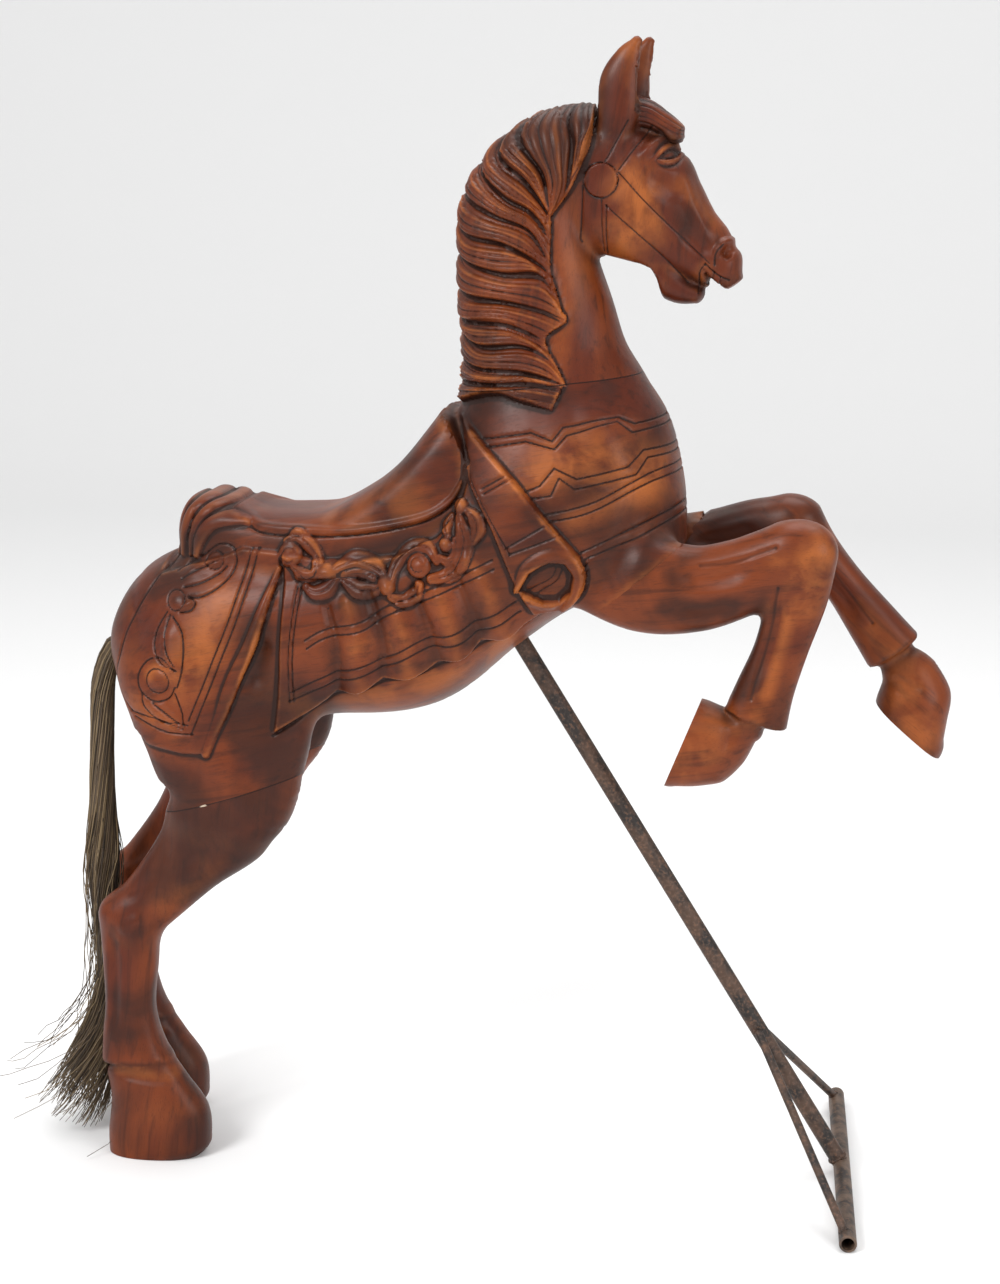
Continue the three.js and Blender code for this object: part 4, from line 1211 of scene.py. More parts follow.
near_legs.groove([[300, 800], [340, 806], [388, 824]], 8, 1.2)
far_legs.groove([[424, 800], [456, 756], [498, 704]], 8, 1.2)
# worn light on the knee, fetlock and hoof and along the forearm's ridge; painted shade under the forearm;
# painted light and shade on the cannon, lighter down its front and darker down its back; a darker band along
# the top of the forearm
near_legs.rub_or_shade_all([
    ([[442, 812], [420, 770]], 44, 1.1), ([[300, 785], [350, 798], [395, 812]], 14, 0.6),
    ([[280, 808], [330, 816], [385, 836]], 16, -0.9), ([[250, 742], [330, 748]], 24, -0.7),
    ([[374, 760], [352, 690], [345, 645]], 20, -0.9), ([[412, 780], [398, 720], [380, 650]], 18, 0.6),
    ([[372, 640], [366, 615]], 20, 0.4), ([[330, 600], [280, 550]], 50, 0.5),
])
far_legs.rub_or_shade_all([
    ([[400, 830], [430, 800]], 30, 0.5), ([[540, 640], [560, 570]], 50, 0.6),
    ([[480, 720], [520, 670]], 30, 0.3),
])
print("leg drawings:", near_legs.height.shape)

# %% [markdown]
# ## The blocks
# Each block's skin is the blend of its members. The seat stands on the barrel as a ledge, and the cantle
# rolls over its back in four carved leaves. The drawings of the two sides are then carved into the skin,
# which is truer than joining carved parts to it, because on the real horse they are one piece of wood.

# %% Trunk
TRUNK_WEAR_AND_PAINTED_SHADE = [  # where the finish is worn light; below 0 it is darker: painted shade in the creases round the stifle, thigh, chest, mane and cantle, and a darker band down the back of the rump
    ([[96, 905], [160, 925], [236, 900]], 52, 0.8),
    ([[150, 850], [230, 885]], 26, 0.4),
    ([[-286, 730], [-330, 640]], 48, 0.8),
    ([[-400, 600], [-352, 580]], 26, 0.5),
    ([[-130, 610], [-20, 645], [60, 690]], 34, 0.7),
    ([[-110, 690], [-60, 700]], 30, 0.3),
    ([[-150, 852], [-60, 860]], 60, 0.35),
    ([[-420, 760], [-380, 800], [-300, 800]], 40, -0.7),
    ([[-240, 570], [-210, 530]], 50, -1.0),
    ([[-350, 520], [-300, 490]], 40, -0.6),
    ([[-440, 740], [-448, 640], [-420, 560]], 34, -0.7),
    ([[30, 985], [180, 1000]], 24, -0.8),
    ([[190, 800], [250, 790]], 36, -0.5),
    ([[40, 820], [20, 880]], 30, -0.5),
]
CANTLE = [
    ([[-318, 862], [-338, 858], [-352, 842], [-360, 815], [-362, 784]], 6),
    ([[-302, 858], [-322, 852], [-338, 836], [-347, 812], [-350, 784]], 6),
    ([[-286, 852], [-306, 846], [-323, 832], [-334, 810], [-338, 786]], 6),
    ([[-328, 786], [-322, 808], [-308, 825], [-286, 833], [-258, 832]], 9),
]
SEAT_BLOCK = [[-372, 745], [-310, 752], [-263, 762], [-212, 770], [-153, 776], [-67, 790], *SEAT[6:]]
seat_board = Relief(-480, 640, 160, 1120)
where, depth = seat_board.inside(SEAT_BLOCK, 130)
seat_board.height[:] = 130
seat_board.height[where] = -np.clip(depth, -130, 130)


HIP_BLEND, THIGH_BLEND, SHOULDER_BLEND, LEDGE = 40, 30, 20, 14
CROUP = Tube([[-385, -34, 720], [-388, 0, 724], [-385, 34, 720]], [30, 32, 30])


def barrel(points):
    return blend(TRUNK.away(points), NECK.away(points), HIP_BLEND)


def trunk_skin(points):
    skin = blend(barrel(points), CROUP.away(points), HIP_BLEND)
    for parts in (HIND_NEAR, HIND_FAR):
        thigh = blend(parts["arm"].away(points), parts["gaskin"].away(points), THIGH_BLEND)
        skin = blend(skin, thigh, HIP_BLEND)
    beyond = past(points, ELBOW_JOINT)
    for limb in (FORE_NEAR["arm"], FORE_FAR["arm"]):
        dive = 0.8 * ramp(beyond, 0, 2)  # past the joint the stump hides in the leg's own block
        skin = blend(skin, np.maximum(limb.away(points) + dive, beyond - 6), SHOULDER_BLEND)
    seat = np.maximum(SADDLE.away(points), seat_board.sample(seat_board.height, points))
    skin = blend(skin, seat, LEDGE)
    return skin


trunk_members = [TRUNK, NECK, SADDLE, HIND_NEAR["arm"], HIND_FAR["arm"], HIND_NEAR["gaskin"],
                 HIND_FAR["gaskin"], FORE_NEAR["arm"], FORE_FAR["arm"]]
SEAT_TOP = [
    *[[x, z + 8] for x, z in SEAT_RIM], [-8, 962], [-60, 1010], [-380, 1010], [-380, 790],
    [-335, 796], [-300, 830],
]
for board in (near_body, far_body):
    where, depth = board.inside(SEAT_TOP, 30)
    board.height[where] *= 1 - ramp(depth, -4, 2)
    board.close |= (board.x[None, :] < -240) & (board.z[:, None] > 775)
    for line, radius in CANTLE:
        board.leaf(line, [0.6 * radius, radius, radius, radius, 0.6 * radius], 6, 0)
    board.rub_or_shade_all(TRUNK_WEAR_AND_PAINTED_SHADE)
wooden(
    "carved_trunk",
    *carve("trunk", trunk_members, trunk_skin, near_body, far_body),
    cuts=[(NECK_JOINT[::-1], -GAP, ANYWHERE), (HIP_JOINT, -GAP, ANYWHERE)],
)

# %% Head and neck
def ear(hand, lean):
    return Limb(2, (12, 8), [[x + lean, *rest] for x, *rest in EAR], hand)


ears = [ear(NEAR, 0), ear(FAR, EAR_LEAN)]


def bowl(hand, lean):
    """The hollow of an ear, which opens forwards."""
    path = [[x + front + lean, hand * (side + 0.1 * half), z] for x, z, _, front, half, side in EAR[1:]]
    return Tube(path, [5, 7, 5, 2])


bowls = [bowl(NEAR, 0), bowl(FAR, EAR_LEAN)]
UPPER_LIP = Limb(3, (8, 3), [
    [302, 1152, 18, 14, 24, 0],
    [315, 1138, 16, 17, 25, 0],
    [324, 1124, 12, 14, 23, 0],
])
OPEN = [  # what is cut away right through the head: the open mouth and the throat behind the chin
    [[290, 1141], [297, 1132], [317, 1115], [327, 1070], [292, 1070], [296, 1103], [294, 1122]],
    [[168, 1156], [190, 1152], [214, 1147], [227, 1141], [234, 1129], [239, 1108], [244, 1060], [168, 1060]],
]
open_board = Relief(140, 1050, 360, 1190)
open_board.height[:] = -60
for outline in OPEN:
    where, depth = open_board.inside(outline, 60)
    open_board.height[where] = np.maximum(open_board.height[where], np.clip(depth, -60, 60))


def head_skin(points):
    skin = blend(HEAD.away(points), JAW.away(points), 10)
    skin = blend(skin, UPPER_LIP.away(points), 6)
    cut = np.where(points[:, 2] < 1180, np.minimum(open_board.sample(open_board.height, points), 30), -60)
    skin = -blend(-skin, -cut, 3)
    skin = blend(skin, NECK.away(points), 14)
    skin = blend(skin, FORELOCK.away(points), 16)
    for limb, hollow in zip(ears, bowls):
        skin = blend(skin, np.maximum(limb.away(points), -hollow.away(points)), 6)
    return skin


head_members = [NECK, HEAD, JAW, UPPER_LIP, FORELOCK, *ears]
wooden(
    "carved_head_neck",
    *carve("head", head_members, head_skin, near_neck, far_neck, voxel=4.0, fine=2.1),
    cuts=[(NECK_JOINT, 0, ANYWHERE)],
)

# %% Legs
KNEE_BLEND, CUFF = 16, 8
HOOF_ROOM = 75  # how far from the spine of a hoof the cut of its sole reaches


def leg_skin(parts):
    def skin(points):
        upper = parts["arm"].away(points)
        if "gaskin" in parts:
            upper = blend(upper, parts["gaskin"].away(points), THIGH_BLEND)
        upper = blend(upper, parts["shin"].away(points), KNEE_BLEND)
        return blend(upper, parts["hoof"].away(points), CUFF)

    return skin


for name, parts, joint, board in (
    ("foreleg_near", FORE_NEAR, ELBOW_JOINT, near_legs),
    ("foreleg_far", FORE_FAR, ELBOW_JOINT, far_legs),
    ("hind_leg_near", HIND_NEAR, HIP_JOINT, near_legs),
    ("hind_leg_far", HIND_FAR, HIP_JOINT, far_legs),
):
    members = [parts[k] for k in ("arm", "gaskin", "shin", "hoof") if k in parts]
    made = carve(name, members, leg_skin(parts), board, board, voxel=5.0, fine=2.4, passes=3)
    spine = parts["hoof"].rows[:, :2]
    foot = (*(spine.min(0) - HOOF_ROOM), *(spine.max(0) + HOOF_ROOM))
    wooden("carved_" + name, *made, cuts=[(joint[::-1], 0, ANYWHERE), (parts["sole"], 0, foot)])


# %% [markdown]
# ## The tail
# Real horsehair, blond, grey and dark brown, hangs as a twisted hank from the rump and frays at its end. A
# hank is hundreds of hairs that follow one path, so Geometry Nodes spread thin strands round a guide line:
# each has its own place in the hank, its own length and its own shade. A near-black core fills the middle
# as painted shade of the hank's inside.

# %% The path of the hank
# Stations [x, z, radius, side] from the root to the end.
TAIL = [
    [-446, 664, 9, 0], [-466, 648, 12, 0], [-480, 596, 15, 0], [-483, 525, 15, -1],
    [-485, 443, 17, -3], [-485, 375, 21, -5], [-486, 320, 17, -7], [-484, 260, 14, -9],
    [-482, 215, 15, -11], [-488, 150, 25, -14], [-506, 90, 36, -17], [-524, 48, 44, -20],
    [-540, 16, 50, -22],
]


def tail_guide():
    rows = spline(np.array(TAIL, float), np.linspace(0, len(TAIL) - 1, 80))
    curve = bpy.data.curves.new("tail_guide", "CURVE")
    curve.dimensions = "3D"
    line = curve.splines.new("POLY")
    line.points.add(len(rows) - 1)
    for point, (x, z, radius, side) in zip(line.points, rows):
        point.co = (x * MM, side * MM, z * MM, 1)
        point.radius = radius * MM
    obj = bpy.data.objects.new("tail_guide", curve)
    bpy.context.collection.objects.link(obj)
    return obj


guide = tail_guide()
print("tail guide:", len(guide.data.splines[0].points), "points")


# %% A short way to write a node tree
class Tree:
    """Adds nodes to a tree and joins them. An input is given a number or the output of another node."""

    def __init__(self, tree):
        self.nodes, self.links = tree.nodes, tree.links

    def add(self, kind, inputs=(), out=0, **settings):
        node = self.nodes.new(kind)
        for key, value in settings.items():
            setattr(node, key, value)
        for key, value in dict(inputs).items():
            if isinstance(value, bpy.types.NodeSocket):
                self.links.new(value, node.inputs[key])
            else:
                node.inputs[key].default_value = value
        return node.outputs[out]

    def math(self, operation, *values):
        return self.add("ShaderNodeMath", enumerate(values), operation=operation)

    def vector(self, operation, *values):
        node_inputs = {i: v for i, v in enumerate(values) if not (operation == "SCALE" and i == 1)}
        if operation == "SCALE":
            node_inputs["Scale"] = values[1]
        return self.add("ShaderNodeVectorMath", node_inputs, operation=operation)


print("tools of a tree:", ", ".join(tool for tool in vars(Tree) if not tool.startswith("_")))

# %% The nodes of one hair
FLOOR_GAP = 0.0035  # no hair lies lower than this
WILD_FROM, WILD_REACH = 0.35, 2.6  # where along it a loose hair leaves the hank, and how far it goes


def known(t, name):
    return t.add("GeometryNodeInputNamedAttribute", {"Name": name}, "Attribute", data_type="FLOAT")


def hair_roots(t, count):
    """A point for each hair, with its own shade, turn and place in the hank, length and wildness."""

    def chance(seed, low=0.0, high=1.0):
        return t.add("FunctionNodeRandomValue", {2: low, 3: high, "Seed": seed}, 1, data_type="FLOAT")

    roots = t.add("GeometryNodePoints", {"Count": count})
    for name, value in (("tone", chance(1)), ("turn", chance(2, 0, 2 * math.pi)), ("place", chance(3)),
                        ("long", chance(4, 0.8, 1.0)), ("wild", chance(5))):
        roots = t.add("GeometryNodeStoreNamedAttribute", {"Geometry": roots, "Name": name, "Value": value},
                      data_type="FLOAT", domain="POINT")
    return roots


def hair_places(t, path, share, twist, wild_share):
    """Where the points of the hairs lie: each at its own place round the path, swaying a little."""
    sample = t.nodes.new("GeometryNodeSampleCurve")
    sample.mode, sample.data_type = "FACTOR", "FLOAT"
    t.links.new(path, sample.inputs["Curves"])
    t.links.new(t.add("GeometryNodeInputRadius"), sample.inputs["Value"])
    t.links.new(share, sample.inputs["Factor"])
    across = t.vector("CROSS_PRODUCT", sample.outputs["Tangent"], sample.outputs["Normal"])
    wild = t.math("GREATER_THAN", t.math("ADD", known(t, "wild"), wild_share), 1.0)
    late = t.math("MAXIMUM", t.math("SUBTRACT", share, WILD_FROM), 0.0)
    stray = t.math("MULTIPLY", t.math("MULTIPLY", wild, late), WILD_REACH)
    reach = t.math("MULTIPLY", t.math("ADD", t.math("SQRT", known(t, "place")), stray), sample.outputs[0])
    angle = t.math("ADD", known(t, "turn"), t.math("MULTIPLY", share, twist))
    side = t.vector("SCALE", sample.outputs["Normal"], t.math("MULTIPLY", reach, t.math("COSINE", angle)))
    up = t.vector("SCALE", across, t.math("MULTIPLY", reach, t.math("SINE", angle)))
    place = t.vector("ADD", sample.outputs["Position"], t.vector("ADD", side, up))
    key = t.add("ShaderNodeCombineXYZ", {0: t.math("MULTIPLY", known(t, "turn"), 9.0),
                                         1: t.math("MULTIPLY", known(t, "place"), 20.0),
                                         2: t.math("MULTIPLY", share, 7.0)})
    wave = t.add("ShaderNodeTexNoise", {"Vector": key, "Scale": 1.0, "Detail": 1.0}, "Color")
    wave = t.vector("SUBTRACT", wave, (0.5, 0.5, 0.5))
    sway = t.math("ADD", 0.004, t.math("MULTIPLY", wild, t.math("MULTIPLY", late, 0.09)))
    place = t.vector("ADD", place, t.vector("SCALE", wave, sway))
    split = t.add("ShaderNodeSeparateXYZ", {0: place}).node.outputs
    low = t.math("MAXIMUM", split["Z"], FLOOR_GAP)
    return t.add("ShaderNodeCombineXYZ", {0: split["X"], 1: split["Y"], 2: low})


print("a loose hair leaves the hank", WILD_FROM, "of the way down")

# %% The nodes of the whole hank
HANK_INPUTS = {"Guide": "Object", "Hairs": "Int", "Hair points": "Int", "Hair radius": "Float",
               "Twist": "Float", "Wild share": "Float", "Hair": "Material"}


def hank_shade_core(t, path, width):
    """A near-black core, painted shade of the hank's inside, that fills the hank and ends before the hairs
    do.
    """
    ring = t.add("GeometryNodeCurvePrimitiveCircle", {"Resolution": 14, "Radius": 0.72})
    core = t.add("GeometryNodeTrimCurve", {"Curve": path, 1: True, 2: 0.0, 3: 0.84})
    along = t.add("GeometryNodeSplineParameter", out="Factor")
    thinning = t.math("SUBTRACT", 1.0, t.math("MULTIPLY", t.math("POWER", along, 4.0), 0.9))
    core = t.add("GeometryNodeCurveToMesh", {"Curve": core, "Profile Curve": ring,
                                             "Scale": t.math("MULTIPLY", width, thinning), "Fill Caps": True})
    # painted shade: the core's tone of 0.12 turns it almost black
    return t.add("GeometryNodeStoreNamedAttribute", {"Geometry": core, "Name": "tone", "Value": 0.12},
                 data_type="FLOAT", domain="POINT")


def hank_nodes():
    tree = bpy.data.node_groups.new("horsehair_hank", "GeometryNodeTree")
    for name, kind in HANK_INPUTS.items():
        tree.interface.new_socket(name, in_out="INPUT", socket_type="NodeSocket" + kind)
    tree.interface.new_socket("Geometry", in_out="OUTPUT", socket_type="NodeSocketGeometry")
    t = Tree(tree)
    given = tree.nodes.new("NodeGroupInput").outputs
    path = t.add("GeometryNodeObjectInfo", {"Object": given["Guide"]}, "Geometry", transform_space="ORIGINAL")
    straight = t.add("GeometryNodeCurvePrimitiveLine", {"Start": (0, 0, 0), "End": (0, 0, 1)})
    straight = t.add("GeometryNodeResampleCurve", {"Curve": straight, "Count": given["Hair points"]})
    roots = hair_roots(t, given["Hairs"])
    hairs = t.add("GeometryNodeInstanceOnPoints", {"Points": roots, "Instance": straight})
    hairs = t.add("GeometryNodeRealizeInstances", {"Geometry": hairs})
    share = t.math("MULTIPLY", t.add("GeometryNodeSplineParameter", out="Factor"), known(t, "long"))
    place = hair_places(t, path, share, given["Twist"], given["Wild share"])
    hairs = t.add("GeometryNodeSetPosition", {"Geometry": hairs, "Position": place})
    ring = t.add("GeometryNodeCurvePrimitiveCircle", {"Resolution": 3, "Radius": given["Hair radius"]})
    thin = t.math("SUBTRACT", 1.0, t.math("MULTIPLY", share, 0.45))
    hairs = t.add("GeometryNodeSetCurveRadius", {"Curve": hairs, "Radius": thin})
    width = t.add("GeometryNodeInputRadius")
    hairs = t.add("GeometryNodeCurveToMesh", {"Curve": hairs, "Profile Curve": ring, "Scale": width,
                                              "Fill Caps": True})
    joined = tree.nodes.new("GeometryNodeJoinGeometry")
    t.links.new(hank_shade_core(t, path, width), joined.inputs[0])
    t.links.new(hairs, joined.inputs[0])
    whole = t.add("GeometryNodeRealizeInstances", {"Geometry": joined.outputs[0]})
    whole = t.add("GeometryNodeSetMaterial", {"Geometry": whole, "Material": given["Hair"]})
    t.add("NodeGroupOutput", {"Geometry": whole}, out=slice(0, 0))
    return tree


def set_inputs(modifier, **values):
    """Sets a modifier's inputs by their identifiers."""
    for item in modifier.node_group.interface.items_tree:
        if item.item_type == "SOCKET" and item.in_out == "INPUT" and item.name in values:
            modifier[item.identifier] = values[item.name]


print("inputs of the hank:", ", ".join(HANK_INPUTS))

# %% [markdown]
# ## Effects that more than one finish uses
# The grain of the wood shows on all six blocks, and the glue lines with their pale filler cross four of
# them. Each is a node group with named inputs, so that every finish can set its own values, and it puts out
# only masks. The colours stay in the finishes.

# %% Node groups
def group(name, inputs, outputs):
    """An empty shader node group; inputs and outputs are {name: default}, a list for a vector."""
    made = bpy.data.node_groups.new(name, "ShaderNodeTree")
    for direction, sockets in (("INPUT", inputs), ("OUTPUT", outputs)):
        for label, value in sockets.items():
            kind = "NodeSocketVector" if isinstance(value, tuple) else "NodeSocketFloat"
            socket = made.interface.new_socket(label, in_out=direction, socket_type=kind)
            if value != ():
                socket.default_value = value
    t = Tree(made)
    given = made.nodes.new("NodeGroupInput").outputs
    result = made.nodes.new("NodeGroupOutput").inputs
    return made, t, given, result


def between(t, value, low, high):
    """A smooth step of a value from 0 at low to 1 at high."""
    return t.add("ShaderNodeMapRange", {"Value": value, 1: low, 2: high, 3: 0.0, 4: 1.0},
                 interpolation_type="SMOOTHSTEP")


def noise(t, where, scale, detail=3.0, distortion=0.0):
    return t.add("ShaderNodeTexNoise", {"Vector": where, "Scale": scale, "Detail": detail,
                                        "Distortion": distortion})


def grain_group():
    """Straight grain along X of its vector: broad figure, fine streaks and open pores."""
    made, t, given, result = group("wood_grain", {"Vector": (0.0, 0.0, 0.0), "Size": 1.0},
                                   {"Figure": 0.0, "Streak": 0.0, "Pores": 0.0})
    place = t.vector("SCALE", given["Vector"], given["Size"])
    figure = noise(t, t.vector("MULTIPLY", place, (2.2, 11.0, 11.0)), 1.0, 3.0, 0.7)
    streak = noise(t, t.vector("MULTIPLY", place, (7.0, 120.0, 120.0)), 1.0, 5.0, 0.4)
    pores = noise(t, t.vector("MULTIPLY", place, (60.0, 900.0, 900.0)), 1.0, 2.0)
    t.links.new(figure, result["Figure"])
    t.links.new(streak, result["Streak"])
    t.links.new(between(t, pores, 0.56, 0.7), result["Pores"])
    return made


def seam_group():
    """Chips of pale filler in a flat glue seam."""
    made, t, given, result = group(
        "seam_filler",
        {"Vector": (0.0, 0.0, 0.0), "Point": (0.0, 0.0, 0.0), "Across": (0.0, 0.0, 1.0), "Half": 0.0008,
         "Share": 0.5},
        {"Line": 0.0, "Chips": 0.0})
    gap = t.add("ShaderNodeVectorMath", {0: t.vector("SUBTRACT", given["Vector"], given["Point"]),
                                         1: given["Across"]}, "Value", operation="DOT_PRODUCT")
    gap = t.math("ABSOLUTE", gap)
    wave = noise(t, given["Vector"], 70.0, 3.0)
    wide = t.math("MULTIPLY", given["Half"], t.math("MULTIPLY", 6.0, t.math("SUBTRACT", wave, 0.38)))
    line = t.math("LESS_THAN", gap, given["Half"])
    chips = t.math("LESS_THAN", gap, wide)
    patch = between(t, noise(t, given["Vector"], 22.0, 2.0), t.math("SUBTRACT", 1.0, given["Share"]),
                    t.math("SUBTRACT", 1.04, given["Share"]))
    t.links.new(line, result["Line"])
    t.links.new(t.math("MULTIPLY", chips, patch), result["Chips"])
    return made


GRAIN, SEAM = grain_group(), seam_group()
print("groups:", GRAIN.name, SEAM.name)

# %% [markdown]
# ## Mahogany
# The wood is stained red brown and varnished to a satin. The stain is uneven, with blackish clouds; a dark
# glaze stays in the cuts and the varnish is worn to orange on what stands proud. Marks made with the
# carving lead them: how hollow a place is in the relief, how far it crowns, and where hands have worn it.
# Painted shade is laid on too: the wood is darkened as deep as it lies between the limbs, and where the
# drawing marks hollows and creases darker. The colours are laid over one another as the coats of stain and
# glaze were. Grain runs along each block, as it was sawn.

# %% The stains
STAIN = {
    "deep": (0.014, 0.0035, 0.0016, 1),
    "red": (0.078, 0.0115, 0.0025, 1),
    "brown": (0.16, 0.031, 0.0055, 1),
    "worn": (0.46, 0.132, 0.026, 1),
    "filler": (0.55, 0.45, 0.34, 1),
    "dust": (0.24, 0.19, 0.155, 1),
}


def mix(t, share, a, b):
    node = t.nodes.new("ShaderNodeMix")
    node.data_type = "RGBA"
    for key, value in ((0, share), (6, a), (7, b)):
        if isinstance(value, bpy.types.NodeSocket):
            t.links.new(value, node.inputs[key])
        else:
            node.inputs[key].default_value = value
    return node.outputs[2]


def fresh_material(name):
    made = bpy.data.materials.new(name)
    made.use_nodes = True
    t = Tree(made.node_tree)
    where = t.add("ShaderNodeTexCoord", out="Object")
    return made, t, where, made.node_tree.nodes["Principled BSDF"]


def mark(t, name):
    return t.add("ShaderNodeAttribute", out="Fac", attribute_name=name)


def use(t, made, **inputs):
    node = t.nodes.new("ShaderNodeGroup")
    node.node_tree = made
    for key, value in inputs.items():
        if isinstance(value, bpy.types.NodeSocket):
            t.links.new(value, node.inputs[key])
        else:
            node.inputs[key].default_value = value
    return node.outputs


print("stains:", ", ".join(STAIN))

# %% The wood's finish
MARKS = ("hollow", "crease", "crown", "rubbed", "upward")


def mahogany(name, turn, seams, shift=0.0, tone=0.0):
    """Stained mahogany with its grain turned by `turn` degrees in the side view."""
    made, t, where, shader = fresh_material(name)
    along = t.add("ShaderNodeMapping", {"Vector": where, "Location": (shift, 0.3 * shift, 0.7 * shift),
                                        "Rotation": (0, math.radians(turn), 0)})
    grain = use(t, GRAIN, Vector=along, Size=1.0)
    cloud = noise(t, where, 6.5, 4.0, 0.6)
    small_cloud = noise(t, where, 24.0, 4.0, 0.4)
    hollow, crease, crown, rubbed, upward = (mark(t, name) for name in MARKS)
    figure = t.math("ADD", grain["Figure"], tone)
    colour = mix(t, between(t, figure, 0.34, 0.66), STAIN["red"], STAIN["brown"])
    colour = mix(t, t.math("MULTIPLY", between(t, grain["Streak"], 0.46, 0.76), 0.55), colour, STAIN["deep"])
    # The noise clouds are the stain's own soot; marks below 0 add painted shade to them, and worn marks take
    # soot away.
    soot_and_painted_shade = t.math("SUBTRACT", t.math("ADD", cloud, 0.06), t.math("MULTIPLY", rubbed, 0.16))
    colour = mix(t, t.math("MULTIPLY", between(t, soot_and_painted_shade, 0.48, 0.74), 0.74), colour, STAIN["deep"])
    proud = t.math("MULTIPLY", between(t, hollow, -0.3, -3.0), 0.6)
    proud = t.math("ADD", proud, t.math("MULTIPLY", crown, 0.55))
    proud = t.math("ADD", proud, t.math("MULTIPLY", t.math("MAXIMUM", rubbed, 0.0), 0.62))
    light = t.math("MULTIPLY", proud, between(t, small_cloud, 0.30, 0.66))
    colour = mix(t, t.math("MINIMUM", light, 0.8), colour, STAIN["worn"])
    # Glaze in the cuts from the hollow mark, plus painted shade from the crease mark deep between the limbs.
    glaze_and_painted_shade = t.math("ADD", between(t, hollow, 0.1, 1.1), t.math("MULTIPLY", crease, 0.75))
    glaze_and_painted_shade = t.math("MINIMUM", t.math("MULTIPLY", glaze_and_painted_shade, t.math("ADD", 0.55, small_cloud)), 0.9)
    colour = mix(t, glaze_and_painted_shade, colour, STAIN["deep"])
    colour = mix(t, t.math("MULTIPLY", grain["Pores"], 0.25), colour, STAIN["deep"])
    for point, across, share in seams:
        seam = use(t, SEAM, Vector=where, Point=point, Across=across, Share=share)
        colour = mix(t, t.math("MULTIPLY", seam["Line"], 0.8), colour, STAIN["deep"])
        colour = mix(t, seam["Chips"], colour, STAIN["filler"])
    dust = t.math("MULTIPLY", between(t, upward, 0.55, 1.0), between(t, small_cloud, 0.45, 0.75))
    colour = mix(t, t.math("MULTIPLY", dust, 0.22), colour, STAIN["dust"])
    t.links.new(colour, shader.inputs["Base Color"])
    rough = t.math("ADD", 0.30, t.math("MULTIPLY", small_cloud, 0.24))
    rough = t.math("ADD", rough, t.math("MULTIPLY", glaze_and_painted_shade, 0.14))
    t.links.new(rough, shader.inputs["Roughness"])
    shader.inputs["Specular IOR Level"].default_value = 0.22
    shader.inputs["Coat Weight"].default_value = 0.04
    shader.inputs["Coat Roughness"].default_value = 0.2
    gouge = noise(t, where, 42.0, 2.0)
    height = t.math("ADD", t.math("MULTIPLY", grain["Streak"], 0.00025), t.math("MULTIPLY", gouge, 0.0006))
    height = t.math("SUBTRACT", height, t.math("MULTIPLY", grain["Pores"], 0.0001))
    bump = t.add("ShaderNodeBump", {"Height": height, "Strength": 0.55, "Distance": 1.0})
    t.links.new(bump, shader.inputs["Normal"])
    return made


def seam_of(line, share):
    """A glue face as the seam group wants it: a point on it and its direction across."""
    (ax, az), (bx, bz) = line
    length = math.hypot(bx - ax, bz - az)
    return (ax * MM, 0, az * MM), ((bz - az) / length, 0, -(bx - ax) / length), share


neck_seam, hip_seam = seam_of(NECK_JOINT, 0.38), seam_of(HIP_JOINT, 0.36)
FINISH = {
    "carved_trunk": mahogany("mahogany_trunk", 12, [neck_seam, hip_seam]),
    "carved_head_neck": mahogany("mahogany_head_neck", 82, [neck_seam], 3.1),
    "carved_foreleg_near": mahogany("mahogany_foreleg_near", 8, [], 5.7, 0.08),
    "carved_foreleg_far": mahogany("mahogany_foreleg_far", -40, [], 8.3, 0.06),
    "carved_hind_leg_near": mahogany("mahogany_hind_leg_near", 84, [hip_seam], 11.9),
    "carved_hind_leg_far": mahogany("mahogany_hind_leg_far", 84, [hip_seam], 14.2),
}
for name, finish in FINISH.items():
    WOOD_PIECES[name].data.materials.append(finish)
    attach(WOOD_PIECES[name], "root")
print("finishes:", len(FINISH))

# %% Horsehair
HAIR = {
    "black": (0.016, 0.009, 0.004, 1),
    "brown": (0.083, 0.05, 0.022, 1),
    "blond": (0.24, 0.165, 0.08, 1),
    "dust": (0.09, 0.062, 0.04, 1),
}


def horsehair():
    made, t, where, shader = fresh_material("horsehair")
    tone = mark(t, "tone")
    colour = mix(t, between(t, tone, 0.05, 0.5), HAIR["black"], HAIR["brown"])
    colour = mix(t, between(t, tone, 0.6, 0.95), colour, HAIR["blond"])
    colour = mix(t, t.math("MULTIPLY", noise(t, where, 14.0, 2.0), 0.5), colour, HAIR["dust"])
    t.links.new(colour, shader.inputs["Base Color"])
    t.links.new(t.math("ADD", 0.38, t.math("MULTIPLY", tone, 0.2)), shader.inputs["Roughness"])
    return made


tail = bpy.data.objects.new("horsehair_tail", bpy.data.meshes.new("horsehair_tail"))
bpy.context.collection.objects.link(tail)
hank = tail.modifiers.new("hank", "NODES")
hank.node_group = hank_nodes()
set_inputs(hank, **{"Guide": guide, "Hairs": 960, "Hair points": 30, "Hair radius": 0.85 * MM, "Twist": 5.0,
                    "Wild share": 0.07, "Hair": horsehair()})
tail_mesh = as_mesh(tail)
tail.modifiers.remove(hank)
tail.data = tail_mesh
bpy.data.objects.remove(guide)
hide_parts("tail")
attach(tail, "root")
print("tail:", len(tail.data.polygons), "faces")

# %% [markdown]
# ## The steel prop
# The prop is an old gas pipe, brown with rust all over. It stands on a cross pipe, and two thin braces are
# welded between them. Pipes are round work, so each is made as rings round its axis, with its bore;
# primitive cylinders would have no bore and no softened ends.

